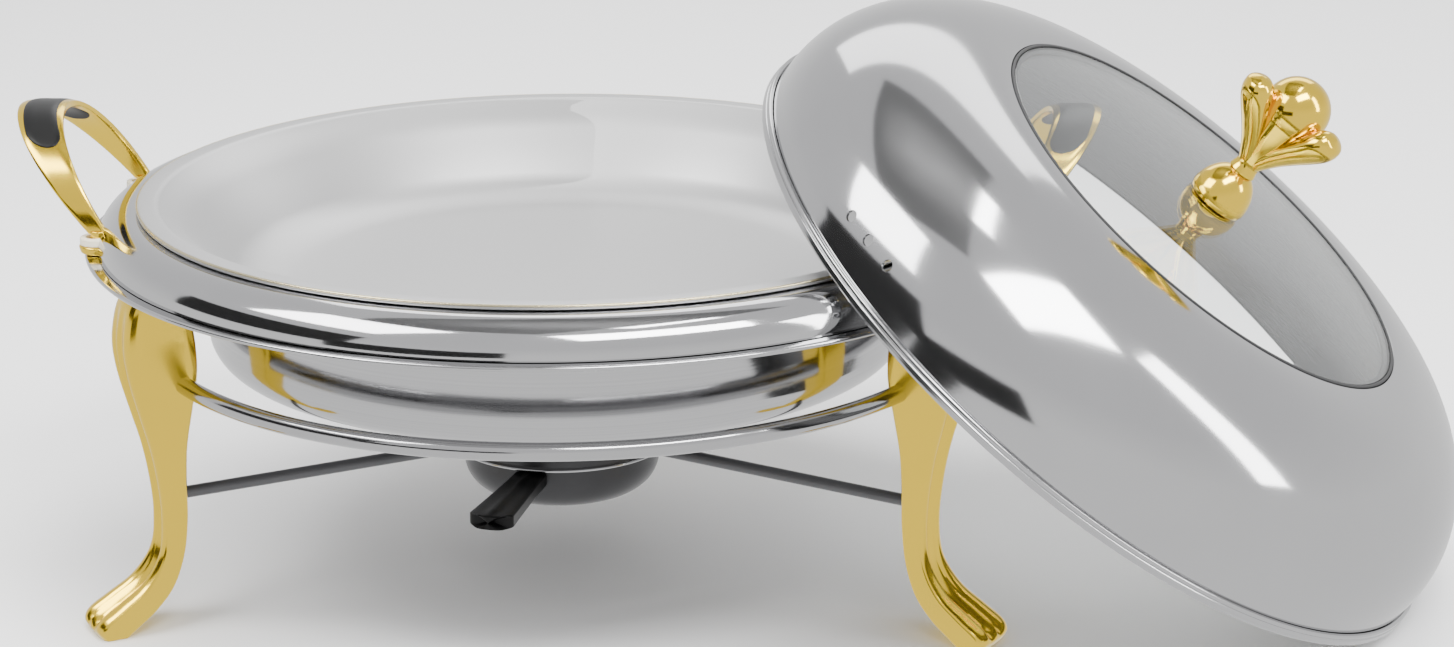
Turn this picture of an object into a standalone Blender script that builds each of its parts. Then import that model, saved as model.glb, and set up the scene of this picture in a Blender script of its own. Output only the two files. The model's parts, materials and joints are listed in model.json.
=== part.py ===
"""Round chafing dish food warmer: tripod stand, burner, water pan, food pan and glass lid.

Metres, +Z up, floor at Z = 0 and the front towards -Y. The pieces are made about the dish's axis,
then all are moved so that the middle of the footprint is on the origin. The lid leans over the
right handle, as it is set down while food is served.
"""

import math

import bmesh
import bpy
from mathutils import Matrix, Vector

GAP = 0.0003  # clearance between pieces that touch
SHEET = 0.001  # pressed sheet of the pans and the lid
TURNS = 28  # steps of a small turned part
BROAD_TURNS = 60  # steps of a part as wide as the dish; every leg lies on one of them
SCREW_TURNS = 14
SIDES = 14  # sides of a small hole or pin
CUT_LENGTH = 0.020  # length of a drill that goes well past a wall

# Stand
FLANGE_RADIUS = 0.1741
FLANGE_TOP = 0.1274
LEG_ANGLES = {"front_left": 210, "front_right": 330, "rear": 90}
LEG_AXIS = FLANGE_RADIUS - 0.0141  # radius from which the legs' outlines are drawn
RING_RADIUS = LEG_AXIS - 0.0085
RING_ROD = 0.0034
RING_HEIGHT = FLANGE_TOP - 0.0366
BRACE_ROD = 0.0022
BRACE_HEIGHT = 0.0475
BRACE_PLUG = 0.0025  # how far a brace goes into its leg
LEG_FACE_AT_BRACE = LEG_AXIS - 0.0095
LEG_STOCK = 0.030  # thickness of the blank before its front outline is cut
FLUTE = 0.0013
FLUTE_PROUD = 0.0002  # a flute's middle stands this far in front of the leg's face
FLUTE_SPACING = 0.0034

# Burner
HOLDER_INNER = 0.0374
HOLDER_WALL = 0.0028
HOLDER_OUTER = HOLDER_INNER + HOLDER_WALL
HOLDER_BOTTOM = 0.0443
HOLDER_HEIGHT = 0.0062
CUP_RADIUS = HOLDER_INNER - GAP
CUP_BOTTOM = 0.0263
CUP_CORNER = 0.013
CUP_WALL = 0.0012
CUP_LIP = 0.0014
POT_WALL = 0.0010
AIR_HOLE = 0.0012
AIR_HOLES = 6
WADDING_HEIGHT = 0.012
LEVER_LENGTH = 0.049
LEVER_ROOT_WIDTH = 0.0120
LEVER_END_WIDTH = 0.0172
LEVER_THICKNESS = 0.0052
LEVER_TURN = -13
RIVET = 0.0012

# Water pan
PAN_WALL = RING_RADIUS - 0.0210
PAN_BOTTOM = FLANGE_TOP - 0.0449
PAN_CORNER = 0.012
FLANGE_HEM = 0.0024
HEM_THICKNESS = 0.0018
FLANGE_MARGIN = 0.0044  # flange seen outside the shoulder
SHOULDER_REACH = 0.0127
SHOULDER_RISE = 0.0130
SHOULDER_FOOT = FLANGE_RADIUS - FLANGE_MARGIN
SHOULDER_TOP = FLANGE_TOP + SHOULDER_RISE
SHOULDER_CREST = SHOULDER_FOOT - SHOULDER_REACH
SHOULDER_LIP = SHOULDER_CREST - 0.0085

# Food pan
RIM_RADIUS = SHOULDER_CREST - 0.0020
RIM_BAND = 0.0075
RIM_TOP = SHOULDER_TOP + 0.0023
BASIN_DEPTH = 0.0330
BASIN_FLOOR = RIM_RADIUS - 0.0500
BASIN_THROAT = 0.0098  # from the rim's edge in to where the sloping side starts
# The sloping side, outwards from BASIN_FLOOR and up from the floor
BASIN_UNDER = [(0.0110, 0.0030), (0.0212, 0.0130), (0.0335, 0.0255)]
BASIN_INSIDE = [(0.0325, 0.0268), (0.0202, 0.0142), (0.0100, 0.0040)]
BASIN_CORNER = 0.016

# Handles
HANDLE_INSET = 0.0054  # from the flange's edge in to the middle of a handle's foot
HANDLE_LEAN = 0.0269
HANDLE_RISE = 0.0373
HANDLE_HALF_SPAN = 0.0410
HANDLE_FOOT_X = math.sqrt((FLANGE_RADIUS - HANDLE_INSET) ** 2 - HANDLE_HALF_SPAN**2)
HANDLE_TOP_X = HANDLE_FOOT_X + HANDLE_LEAN
HANDLE_FOOT_Z = FLANGE_TOP + 0.0071
HANDLE_TOP_Z = HANDLE_FOOT_Z + HANDLE_RISE
HANDLE_FOOT_WIDTH = 0.0070
HANDLE_TOP_WIDTH = 0.0175
HANDLE_THICKNESS = 0.0030
INLAY_WIDTH = 0.0135
INLAY_REACH = 43  # degrees each side of the top
INLAY_PROUD = 0.0004
STUB = 0.0030
FERRULE_TOP = 0.0050
FERRULE_FOOT = 0.0056
FERRULE_HEIGHT = 0.0064
SCREW_SHANK = 0.0014
SCREW_HEAD = 0.0023
SCREW_HEAD_HEIGHT = 0.0022

# Lid, in its own frame: the rim's plane at 0 and the knob on its +Z
LID_RADIUS = RIM_RADIUS - 0.0034
LID_BAND_HEIGHT = 0.0045
LID_BAND_WALL = 0.0017
BAND_FLOOR = 0.0005  # thickness of the band's turn under the dome's edge
LID_SIDE = 0.010
LID_CROWN = 0.0636
GLASS_THICKNESS = 0.0026
SEAL_WALL = 0.0011
SEAL_FLOOR = 0.0008
LEDGE_WIDTH = 0.0045
WINDOW_RADIUS = 0.0868
VENT = 0.0021
VENT_HEIGHT = 0.018
VENT_ANGLES = (232.0, 236.6, 241.3)
KNOB_FOOT = 0.0128
KNOB_BASE_HEIGHT = 0.0198
KNOB_NECK = 0.0044
KNOB_WIDTH = 0.0200
KNOB_BALL = 0.0100
KNOB_HEIGHT = 0.0600  # from the glass to the top of the ball
KNOB_SCREW = 0.0022
KNOB_BORE = 0.014
WASHER_RADIUS = 0.0090
WASHER_THICKNESS = 0.0012

# Where the lid leans
LID_STANDOFF = 0.1324  # along the lean, from the handle's top to where the rim meets the floor
LID_HEADING = -15.2
LID_CENTRE_Y = -0.0205
LID_CLEARANCE = 0.0006  # from the window's underside to the handle's outer top edge


def collection(name, hidden=False):
    made = bpy.data.collections.new(name)
    made.hide_render = hidden
    bpy.context.scene.collection.children.link(made)
    return made


def material(name, colour, roughness, metallic):
    made = bpy.data.materials.new(name)
    made.use_nodes = True
    shader = made.node_tree.nodes["Principled BSDF"]
    shader.inputs["Base Color"].default_value = (*colour, 1.0)
    shader.inputs["Roughness"].default_value = roughness
    shader.inputs["Metallic"].default_value = metallic
    made.diffuse_color = (*colour, 1.0)
    return made


FINISHES = {
    "steel": ((0.62, 0.62, 0.62), 0.10, 1.0),
    "satin": ((0.50, 0.50, 0.50), 0.38, 1.0),
    "gold": ((0.86, 0.76, 0.45), 0.16, 1.0),
    "dark_steel": ((0.11, 0.11, 0.12), 0.35, 0.9),
    "black": ((0.02, 0.02, 0.02), 0.45, 0.0),
    "rubber": ((0.03, 0.03, 0.03), 0.60, 0.0),
    "glass": ((0.80, 0.84, 0.84), 0.04, 0.0),
    "wadding": ((0.85, 0.83, 0.78), 0.95, 0.0),
}


def add(name, data, finish, where, parent=None):
    """A named object with its own material, in its collection."""
    obj = bpy.data.objects.new(name, data)
    where.objects.link(obj)
    if finish:
        data.materials.append(material(name, *FINISHES[finish]))
    if parent:
        obj.parent = parent
    return obj


def helper(obj):
    """Turns an object into a hidden cutter or joining piece."""
    for owner in list(obj.users_collection):
        owner.objects.unlink(obj)
    CUTTERS.objects.link(obj)
    obj.hide_render = True
    obj.display_type = "WIRE"
    return obj


def boolean(obj, other, operation="DIFFERENCE"):
    modifier = obj.modifiers.new(operation.title(), "BOOLEAN")
    modifier.operation = operation
    modifier.solver = "EXACT"
    modifier.object = other
    return modifier


def bevel(obj, width, segments=2, angle=40):
    modifier = obj.modifiers.new("Bevel", "BEVEL")
    modifier.width = width
    modifier.segments = segments
    modifier.limit_method = "ANGLE"
    modifier.angle_limit = math.radians(angle)
    return modifier


def arc(centre_x, centre_z, radius_x, radius_z, start, end, count):
    """Points of an elliptical arc, from one angle to another in degrees, both ends included."""
    points = []
    for step in range(count + 1):
        angle = math.radians(start + (end - start) * step / count)
        points.append((centre_x + radius_x * math.cos(angle), centre_z + radius_z * math.sin(angle)))
    return points


def area(profile):
    """Signed area of a profile, positive when it runs anticlockwise in X and Z."""
    total = 0.0
    for (x0, z0), (x1, z1) in zip(profile, profile[1:] + profile[:1]):
        total += x0 * z1 - x1 * z0
    return total / 2


def turned(name, profile, finish, where, parent=None, ring=False, steps=TURNS):
    """A turned solid: the profile in X and Z, swept about Z. A ring's profile closes on itself."""
    if area(profile) > 0:
        profile = profile[::-1]
    mesh = bpy.data.meshes.new(name)
    vertices = [(x, 0.0, z) for x, z in profile]
    edges = [(step, step + 1) for step in range(len(profile) - 1)]
    if ring:
        edges.append((len(profile) - 1, 0))
    mesh.from_pydata(vertices, edges, [])
    obj = add(name, mesh, finish, where, parent)
    screw = obj.modifiers.new("Screw", "SCREW")
    screw.axis = "Z"
    screw.steps = steps
    screw.render_steps = steps
    screw.use_merge_vertices = True
    screw.merge_threshold = 0.00001
    screw.use_normal_calculate = False
    screw.use_normal_flip = False
    return obj


def tube(name, points, radius, finish, where, cyclic=False, parent=None):
    """A round rod through the points."""
    curve = bpy.data.curves.new(name, "CURVE")
    curve.dimensions = "3D"
    curve.bevel_depth = radius
    curve.bevel_resolution = 1
    curve.use_fill_caps = True
    curve.resolution_u = 1
    spline = curve.splines.new("POLY")
    spline.points.add(len(points) - 1)
    for point, place in zip(spline.points, points):
        point.co = (*place, 1.0)
    spline.use_cyclic_u = cyclic
    return add(name, curve, finish, where, parent)


def solid_of(obj):
    """Replaces a curve by the closed mesh that it makes."""
    graph = bpy.context.evaluated_depsgraph_get()
    mesh = bpy.data.meshes.new_from_object(obj.evaluated_get(graph))
    name = obj.name
    place = obj.matrix_world.copy()
    owner = obj.users_collection[0]
    bpy.data.objects.remove(obj)
    work = bmesh.new()
    work.from_mesh(mesh)
    bmesh.ops.remove_doubles(work, verts=work.verts, dist=0.000005)
    bmesh.ops.recalc_face_normals(work, faces=work.faces)
    work.transform(place)
    work.to_mesh(mesh)
    work.free()
    made = bpy.data.objects.new(name, mesh)
    owner.objects.link(made)
    return made


def plate(name, outline, thickness, where, resolution=3):
    """A flat plate: a smooth closed outline in X and Z, its thickness along Y.

    Each outline point is (x, z) for a smooth point or (x, z, 1) for a corner.
    """
    curve = bpy.data.curves.new(name, "CURVE")
    curve.dimensions = "2D"
    curve.fill_mode = "BOTH"
    curve.extrude = thickness / 2
    curve.resolution_u = resolution
    spline = curve.splines.new("BEZIER")
    spline.bezier_points.add(len(outline) - 1)
    spline.use_cyclic_u = True
    for point, place in zip(spline.bezier_points, outline):
        point.co = (place[0], place[1], 0.0)
        kind = "VECTOR" if len(place) == 3 else "AUTO"
        point.handle_left_type = kind
        point.handle_right_type = kind
    obj = bpy.data.objects.new(name, curve)
    where.objects.link(obj)
    obj.matrix_world = Matrix.Rotation(math.radians(90), 4, "X")
    bpy.context.view_layer.update()
    return solid_of(obj)


def cylinder(name, radius, bottom, top, x=0.0, y=0.0, top_radius=None, sides=None):
    """An upright cylinder or cone as a mesh, from its bottom to its top."""
    work = bmesh.new()
    bmesh.ops.create_cone(
        work,
        cap_ends=True,
        segments=sides or SIDES,
        radius1=radius,
        radius2=radius if top_radius is None else top_radius,
        depth=top - bottom,
        matrix=Matrix.Translation((x, y, (top + bottom) / 2)),
    )
    mesh = bpy.data.meshes.new(name)
    work.to_mesh(mesh)
    work.free()
    return mesh


def heading(angle):
    return Vector((math.cos(math.radians(angle)), math.sin(math.radians(angle)), 0.0))


# ---------------------------------------------------------------- stand

LEG_TOP = FLANGE_TOP - SHEET - GAP
# Outlines of a leg: outwards from LEG_AXIS, and up. A third value of 1 marks a corner.
LEG_OUTER = [
    (0.0060, LEG_TOP, 1),
    (0.0112, 0.1130),
    (0.0116, 0.1020),
    (0.0090, 0.0880),
    (0.0040, 0.0690),
    (0.0012, 0.0520),
    (0.0006, 0.0380),
    (0.0028, 0.0255),
    (0.0100, 0.0168),
    (0.0190, 0.0112),
    (0.0262, 0.0066),
    (0.0272, 0.0030),
    (0.0245, 0.0, 1),
]
LEG_INNER = [
    (0.0160, 0.0, 1),
    (0.0055, 0.0072),
    (-0.0020, 0.0150),
    (-0.0072, 0.0270),
    (-0.0092, 0.0400),
    (-0.0094, 0.0560),
    (-0.0100, 0.0720),
    (-0.0138, 0.0850),
    (-0.0145, 0.0950),
    (-0.0128, 0.1080),
    (-0.0080, LEG_TOP, 1),
]
LEG_HALF_WIDTHS = [
    (0.0090, LEG_TOP),
    (0.0104, 0.1060),
    (0.0088, 0.0800),
    (0.0074, 0.0520),
    (0.0070, 0.0350),
    (0.0088, 0.0190),
    (0.0108, 0.0080),
    (0.0106, 0.0),
]


def leg_body():
    """One leg along +X: its side outline, kept to its front outline, with two flutes."""
    outline = [(LEG_AXIS + point[0], *point[1:]) for point in LEG_OUTER + LEG_INNER]
    body = plate("leg_blank", outline, LEG_STOCK, DISH)
    right = [(width, z, 1) if z in (0.0, LEG_TOP) else (width, z) for width, z in LEG_HALF_WIDTHS]
    left = [(-point[0], *point[1:]) for point in right]
    front = plate("leg_front_outline", right + left[::-1], 0.120, CUTTERS)
    turn = Matrix.Translation((LEG_AXIS, 0.0, 0.0)) @ Matrix.Rotation(math.radians(90), 4, "Z")
    front.data.transform(turn)
    boolean(body, helper(front), "INTERSECT")
    path = [Vector((LEG_AXIS + point[0] + FLUTE_PROUD, 0.0, point[1])) for point in LEG_OUTER[1:-4]]
    for side in (-1, 1):
        shift = Vector((0.0, side * FLUTE_SPACING, 0.0))
        groove = tube("leg_flute", [point + shift for point in path], FLUTE, None, CUTTERS)
        bpy.context.view_layer.update()
        boolean(body, helper(solid_of(groove)))
    hole_end = LEG_FACE_AT_BRACE + BRACE_PLUG + GAP
    hole = cylinder("leg_brace_hole", BRACE_ROD + GAP, 0.0, CUT_LENGTH)
    hole.transform(Matrix.Rotation(math.radians(90), 4, "Y"))
    hole.transform(Matrix.Translation((hole_end - CUT_LENGTH, 0.0, BRACE_HEIGHT)))
    boolean(body, helper(add("leg_brace_hole", hole, None, CUTTERS)))
    section = arc(RING_RADIUS, RING_HEIGHT, RING_ROD + GAP, RING_ROD + GAP, 0, 324, 9)
    channel = turned("leg_ring_channel", section, None, CUTTERS, ring=True, steps=BROAD_TURNS)
    boolean(body, helper(channel))
    return body


def legs():
    """The leg once as a finished mesh, then a turned copy at each of the three places."""
    pattern = leg_body()
    bpy.context.view_layer.update()
    graph = bpy.context.evaluated_depsgraph_get()
    finished = bpy.data.meshes.new_from_object(pattern.evaluated_get(graph))
    bpy.data.objects.remove(pattern)
    for name, angle in LEG_ANGLES.items():
        mesh = finished.copy()
        leg = add("leg_" + name, mesh, "gold", DISH)
        leg.rotation_euler = (0.0, 0.0, math.radians(angle))


def support_ring():
    section = arc(RING_RADIUS, RING_HEIGHT, RING_ROD, RING_ROD, 0, 324, 9)
    turned("support_ring", section, "steel", DISH, ring=True, steps=BROAD_TURNS)


def braces():
    """Three rods from the legs to the burner's holder."""
    for name, angle in LEG_ANGLES.items():
        along = heading(angle)
        rise = Vector((0.0, 0.0, BRACE_HEIGHT))
        inner = along * (HOLDER_OUTER + GAP) + rise
        outer = along * (LEG_FACE_AT_BRACE + BRACE_PLUG) + rise
        tube("brace_" + name, [inner, outer], BRACE_ROD, "dark_steel", DISH)


# ---------------------------------------------------------------- burner

HOLDER_TOP = HOLDER_BOTTOM + HOLDER_HEIGHT
CUP_TOP = HOLDER_TOP + GAP + CUP_LIP
POT_RADIUS = CUP_RADIUS - CUP_WALL - GAP
POT_BOTTOM = CUP_BOTTOM + CUP_WALL + GAP
POT_CORNER = CUP_CORNER - CUP_WALL - GAP
LEVER_TOP = HOLDER_BOTTOM - 0.0012


def ring_section(inner, outer, bottom, top):
    return [(inner, bottom), (outer, bottom), (outer, top), (inner, top)]


def bowl_section(radius, bottom, top, corner, wall, lip=0.0):
    """Outline of a turned cup: floor, rounded corner, upright wall and an outward lip."""
    outside = [(0.0, bottom)] + arc(radius - corner, bottom + corner, corner, corner, 270, 360, 4)
    if lip:
        outside += [(radius, top - lip), (HOLDER_OUTER - GAP, top - lip), (HOLDER_OUTER - GAP, top)]
    else:
        outside += [(radius, top)]
    inner = corner - wall
    inside = [(radius - wall, top)] + arc(radius - corner, bottom + corner, inner, inner, 360, 270, 4)
    return outside + inside + [(0.0, bottom + wall)]


def air_holes(obj, radius):
    """A ring of air holes through the wall at the holder's mid height."""
    height = HOLDER_BOTTOM + HOLDER_HEIGHT / 2
    work = bmesh.new()
    for step in range(AIR_HOLES):
        angle = 360 / AIR_HOLES * step
        place = Matrix.Translation(heading(angle) * radius + Vector((0.0, 0.0, height)))
        lie = Matrix.Rotation(math.radians(angle), 4, "Z") @ Matrix.Rotation(math.radians(90), 4, "Y")
        bmesh.ops.create_cone(
            work,
            cap_ends=True,
            segments=8,
            radius1=AIR_HOLE,
            radius2=AIR_HOLE,
            depth=0.008,
            matrix=place @ lie,
        )
    mesh = bpy.data.meshes.new("air_hole_cutter")
    work.to_mesh(mesh)
    work.free()
    boolean(obj, helper(add("air_hole_cutter", mesh, None, CUTTERS)))


def burner():
    """The holder, the cup that turns in it by its lever, and the fuel pot that lifts out."""
    band = ring_section(HOLDER_INNER, HOLDER_OUTER, HOLDER_BOTTOM, HOLDER_TOP)
    holder = turned("burner_holder", band, "dark_steel", DISH, ring=True)
    air_holes(holder, HOLDER_OUTER)

    cup_outline = bowl_section(CUP_RADIUS, CUP_BOTTOM, CUP_TOP, CUP_CORNER, CUP_WALL, CUP_LIP)
    cup = turned("burner_cup", cup_outline, "dark_steel", DISH)
    air_holes(cup, CUP_RADIUS)

    pot_top = CUP_TOP - 0.0008
    pot_outline = bowl_section(POT_RADIUS, POT_BOTTOM, pot_top, POT_CORNER, POT_WALL)
    turned("fuel_pot", pot_outline, "steel", DISH)

    inside = POT_RADIUS - POT_WALL - GAP
    floor = POT_BOTTOM + POT_WALL + GAP
    corner = POT_CORNER - POT_WALL - GAP
    pad = [(0.0, floor)] + arc(inside - corner, floor + corner, corner, corner, 270, 360, 4)
    pad += [(inside, floor + corner + 0.002), (inside - 0.001, floor + WADDING_HEIGHT + 0.001)]
    pad += [(0.0, floor + WADDING_HEIGHT + 0.001)]
    turned("fuel_wadding", pad, "wadding", DISH)

    gauze_bottom = floor + WADDING_HEIGHT + 0.001 + GAP
    gauze = ring_section(0.0090, inside - 0.0006, gauze_bottom, gauze_bottom + 0.0012)
    turned("flame_ring", gauze, "dark_steel", DISH, ring=True)
    lever()


def lever():
    """The black lever on the cup's wall, flared and round at its end, fitted to the wall at its root."""
    root = CUP_RADIUS + GAP
    end = root + LEVER_LENGTH
    round_start = end - 0.004
    half_root = LEVER_ROOT_WIDTH / 2
    half_end = LEVER_END_WIDTH / 2
    upper = [(root - 0.001, half_root, 1), (round_start, half_end)]
    upper += [(end, half_end * 0.55), (end + 0.001, 0.0)]
    lower = [(x, -y, *rest) for x, y, *rest in upper[:-1]]
    body = plate("burner_lever", upper + lower[::-1], LEVER_THICKNESS, DISH)
    lie = Matrix.Rotation(math.radians(-90), 4, "X")
    body.data.transform(lie)
    body.data.transform(Matrix.Translation((0.0, 0.0, LEVER_TOP - LEVER_THICKNESS / 2)))
    body.data.materials.append(material("burner_lever", *FINISHES["black"]))
    bevel(body, 0.0008, segments=2)
    axis = bpy.data.objects.new("burner_axis", None)
    DISH.objects.link(axis)
    axis.location = (0.0, 0.0, BRACE_HEIGHT)
    axis.rotation_euler = (0.0, 0.0, math.radians(270 + LEVER_TURN))
    saddle = cylinder("lever_saddle", root, LEVER_TOP - 0.02, LEVER_TOP + 0.02, sides=TURNS)
    hole = cylinder("lever_rivet_hole", RIVET + GAP, 0.0, 0.008)
    hole.transform(Matrix.Rotation(math.radians(90), 4, "Y"))
    hole.transform(Matrix.Translation((root - 0.002, 0.0, LEVER_TOP - LEVER_THICKNESS / 2)))
    rivet = cylinder("lever_rivet", RIVET, 0.0, 0.0050)
    rivet.transform(Matrix.Rotation(math.radians(90), 4, "Y"))
    rivet.transform(Matrix.Translation((root, 0.0, LEVER_TOP - LEVER_THICKNESS / 2)))
    lower_data = Matrix.Translation((0.0, 0.0, -BRACE_HEIGHT))
    for data in (body.data, saddle, hole, rivet):
        data.transform(lower_data)
    boolean(body, helper(add("lever_saddle", saddle, None, CUTTERS, axis)))
    boolean(body, helper(add("lever_rivet_hole", hole, None, CUTTERS, axis)))
    add("lever_rivet", rivet, "dark_steel", DISH, axis)
    body.parent = axis


# ---------------------------------------------------------------- pans

FLANGE_BOTTOM = FLANGE_TOP - SHEET
FERRULE_X = HANDLE_FOOT_X
FERRULE_Y = HANDLE_HALF_SPAN
FOOT_PLACES = {
    "left_front": (-FERRULE_X, -FERRULE_Y),
    "left_back": (-FERRULE_X, FERRULE_Y),
    "right_front": (FERRULE_X, -FERRULE_Y),
    "right_back": (FERRULE_X, FERRULE_Y),
}


def foot_cutter(name, radius, bottom, top):
    """Upright cylinders at the four handle feet, as one cutter."""
    work = bmesh.new()
    for x, y in FOOT_PLACES.values():
        bmesh.ops.create_cone(
            work,
            cap_ends=True,
            segments=SIDES,
            radius1=radius,
            radius2=radius,
            depth=top - bottom,
            matrix=Matrix.Translation((x, y, (top + bottom) / 2)),
        )
    mesh = bpy.data.meshes.new(name)
    work.to_mesh(mesh)
    work.free()
    return helper(add(name, mesh, None, CUTTERS))


def water_pan():
    """Flat floor, upright wall, broad flange with a folded edge."""
    bend = 0.0035
    outside = [(0.0, PAN_BOTTOM)]
    outside += arc(PAN_WALL - PAN_CORNER, PAN_BOTTOM + PAN_CORNER, PAN_CORNER, PAN_CORNER, 270, 360, 4)
    outside += arc(PAN_WALL + bend, FLANGE_BOTTOM - bend, bend, bend, 180, 90, 2)
    hem_in = FLANGE_RADIUS - FLANGE_HEM
    outside += [(hem_in, FLANGE_BOTTOM), (hem_in, FLANGE_TOP - HEM_THICKNESS)]
    middle = FLANGE_TOP - HEM_THICKNESS / 2
    outside += arc(FLANGE_RADIUS - 0.0007, middle, 0.0007, HEM_THICKNESS / 2, 270, 450, 3)
    top_bend = bend + SHEET
    inside = arc(PAN_WALL + bend, FLANGE_TOP - top_bend, top_bend, top_bend, 90, 180, 2)
    inner = PAN_CORNER - SHEET
    inside += arc(PAN_WALL - PAN_CORNER, PAN_BOTTOM + PAN_CORNER, inner, inner, 360, 270, 4)
    inside += [(0.0, PAN_BOTTOM + SHEET)]
    pan = turned("water_pan", outside + inside, "steel", DISH, steps=BROAD_TURNS)
    boolean(pan, foot_cutter("pan_screw_holes", SCREW_SHANK + GAP, FLANGE_BOTTOM - 0.004, FLANGE_TOP + 0.004))


def pan_shoulder():
    """The convex ring on the flange that carries the food pan's rim."""
    foot = FLANGE_TOP + GAP
    across = SHOULDER_FOOT - SHOULDER_CREST
    rise = SHOULDER_TOP - foot
    outline = arc(SHOULDER_CREST, foot, across, rise, 0, 90, 5)
    outline += [(SHOULDER_LIP, SHOULDER_TOP), (SHOULDER_LIP, SHOULDER_TOP - SHEET)]
    outline += arc(SHOULDER_CREST, foot, across - SHEET, rise - SHEET, 90, 0, 5)
    shoulder = turned("pan_shoulder", outline, "steel", DISH, ring=True, steps=BROAD_TURNS)
    boolean(shoulder, foot_cutter("shoulder_pockets", FERRULE_FOOT + GAP, foot - 0.003, SHOULDER_TOP - 0.004))


def food_pan():
    """Shallow basin with sloping sides and a broad rim that sits on the shoulder."""
    band_in = RIM_RADIUS - RIM_BAND
    under = SHOULDER_TOP + GAP
    floor = RIM_TOP - BASIN_DEPTH
    roll = (RIM_TOP - under) / 2
    outside = [(0.0, floor - SHEET), (BASIN_FLOOR, floor - SHEET)]
    outside += [(BASIN_FLOOR + out, floor + up) for out, up in BASIN_UNDER]
    outside += [(RIM_RADIUS - BASIN_THROAT, under - 0.0012), (band_in + 0.0004, under)]
    outside += arc(RIM_RADIUS - roll, under + roll, roll, roll, 270, 450, 3)
    throat = RIM_RADIUS - BASIN_THROAT
    inside = [(band_in + 0.0006, RIM_TOP - 0.0002), (throat - 0.0002, RIM_TOP - 0.0022)]
    inside += [(BASIN_FLOOR + out, floor + up) for out, up in BASIN_INSIDE]
    inside += [(BASIN_FLOOR, floor), (0.0, floor)]
    turned("food_pan", outside + inside, "satin", DISH, steps=BROAD_TURNS)


# ---------------------------------------------------------------- handles


def handle_width(height):
    """The strap's width at a share of the handle's height, 0 at the feet and 1 at the top."""
    return HANDLE_FOOT_WIDTH + (HANDLE_TOP_WIDTH - HANDLE_FOOT_WIDTH) * height**0.8


def strap(name, side, reach, width, thickness, finish, where, columns=2, rows=22):
    """A bent strap over the handle's arch: reach in degrees each side of the top."""
    work = bmesh.new()
    bmesh.ops.create_grid(work, x_segments=columns, y_segments=rows, size=1.0)
    rise = HANDLE_TOP_Z - HANDLE_FOOT_Z
    for vertex in work.verts:
        across, along = vertex.co.x, vertex.co.y
        angle = math.radians(reach * along)
        height = max(math.cos(angle), 0.0)
        centre = HANDLE_FOOT_X + (HANDLE_TOP_X - HANDLE_FOOT_X) * height
        x = centre + across * width(height, along) / 2
        vertex.co = (side * x, HANDLE_HALF_SPAN * math.sin(angle), HANDLE_FOOT_Z + rise * height)
    mesh = bpy.data.meshes.new(name)
    work.to_mesh(mesh)
    work.free()
    obj = add(name, mesh, finish, where)
    solid = obj.modifiers.new("Solidify", "SOLIDIFY")
    solid.thickness = thickness
    solid.offset = 0.0
    solid.use_even_offset = True
    return obj


def round_ended(width, inset):
    """Width of the inlay along its length: full in the middle and round at both ends."""

    def at(height, along):
        start = 0.72
        share = max(abs(along) - start, 0.0) / (1.0 - start)
        return (width - 2 * inset) * max(math.sqrt(max(1.0 - share * share, 0.0)), 0.12)

    return at


def handle(name, side):
    body = strap(name, side, 90, lambda height, along: handle_width(height), HANDLE_THICKNESS, "gold", DISH)
    bevel(body, 0.0007, segments=1, angle=50)
    through = HANDLE_THICKNESS * 2.4
    slot = strap(name + "_slot", side, INLAY_REACH, round_ended(INLAY_WIDTH, 0.0), through, None, CUTTERS)
    boolean(body, helper(slot))
    inset = GAP / HANDLE_HALF_SPAN
    reach = INLAY_REACH - math.degrees(inset)
    thick = HANDLE_THICKNESS + INLAY_PROUD
    strap(name + "_inlay", side, reach, round_ended(INLAY_WIDTH, GAP), thick, "black", DISH)
    bottom = FLANGE_TOP + 2 * GAP
    for end in (-1, 1):
        stub_top = HANDLE_FOOT_Z + 0.0012
        stub = cylinder("handle_stub", STUB, bottom, stub_top, side * FERRULE_X, end * FERRULE_Y)
        boolean(body, helper(add("handle_stub", stub, None, CUTTERS)), "UNION")
    top = bottom + 0.0042
    boolean(body, foot_cutter(name + "_bores", SCREW_SHANK + GAP, bottom - 0.002, top))


def ferrules():
    """A tapered collar round each handle foot, on the flange, and the screw that holds the foot."""
    bottom = FLANGE_TOP + GAP
    top = bottom + FERRULE_HEIGHT - 0.0008
    for place, (x, y) in FOOT_PLACES.items():
        mesh = cylinder("handle_ferrule_" + place, FERRULE_FOOT, bottom, top, x, y, FERRULE_TOP)
        ferrule = add("handle_ferrule_" + place, mesh, "gold", DISH)
        bore = cylinder("ferrule_bore", STUB + GAP, bottom - 0.004, top + 0.004, x, y)
        boolean(ferrule, helper(add("ferrule_bore", bore, None, CUTTERS)))
        head_top = FLANGE_BOTTOM - GAP
        outline = [(0.0, head_top - SCREW_HEAD_HEIGHT), (SCREW_HEAD, head_top - SCREW_HEAD_HEIGHT)]
        outline += [(SCREW_HEAD, head_top), (SCREW_SHANK, head_top)]
        outline += [(SCREW_SHANK, bottom + 0.0038), (0.0, bottom + 0.0038)]
        screw = turned("handle_screw_" + place, outline, "steel", DISH, steps=SCREW_TURNS)
        screw.location = (x, y, 0.0)


# ---------------------------------------------------------------- lid

GLASS_TOP = LID_CROWN
GLASS_BOTTOM = GLASS_TOP - GLASS_THICKNESS
SEAL_BOTTOM = GLASS_BOTTOM - GAP - SEAL_FLOOR
SEAL_OUTER = WINDOW_RADIUS + GAP + SEAL_WALL
SEAT_RADIUS = SEAL_OUTER + GAP
LEDGE_TOP = SEAL_BOTTOM - GAP
SHELL_RADIUS = LID_RADIUS - LID_BAND_WALL - GAP


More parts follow.
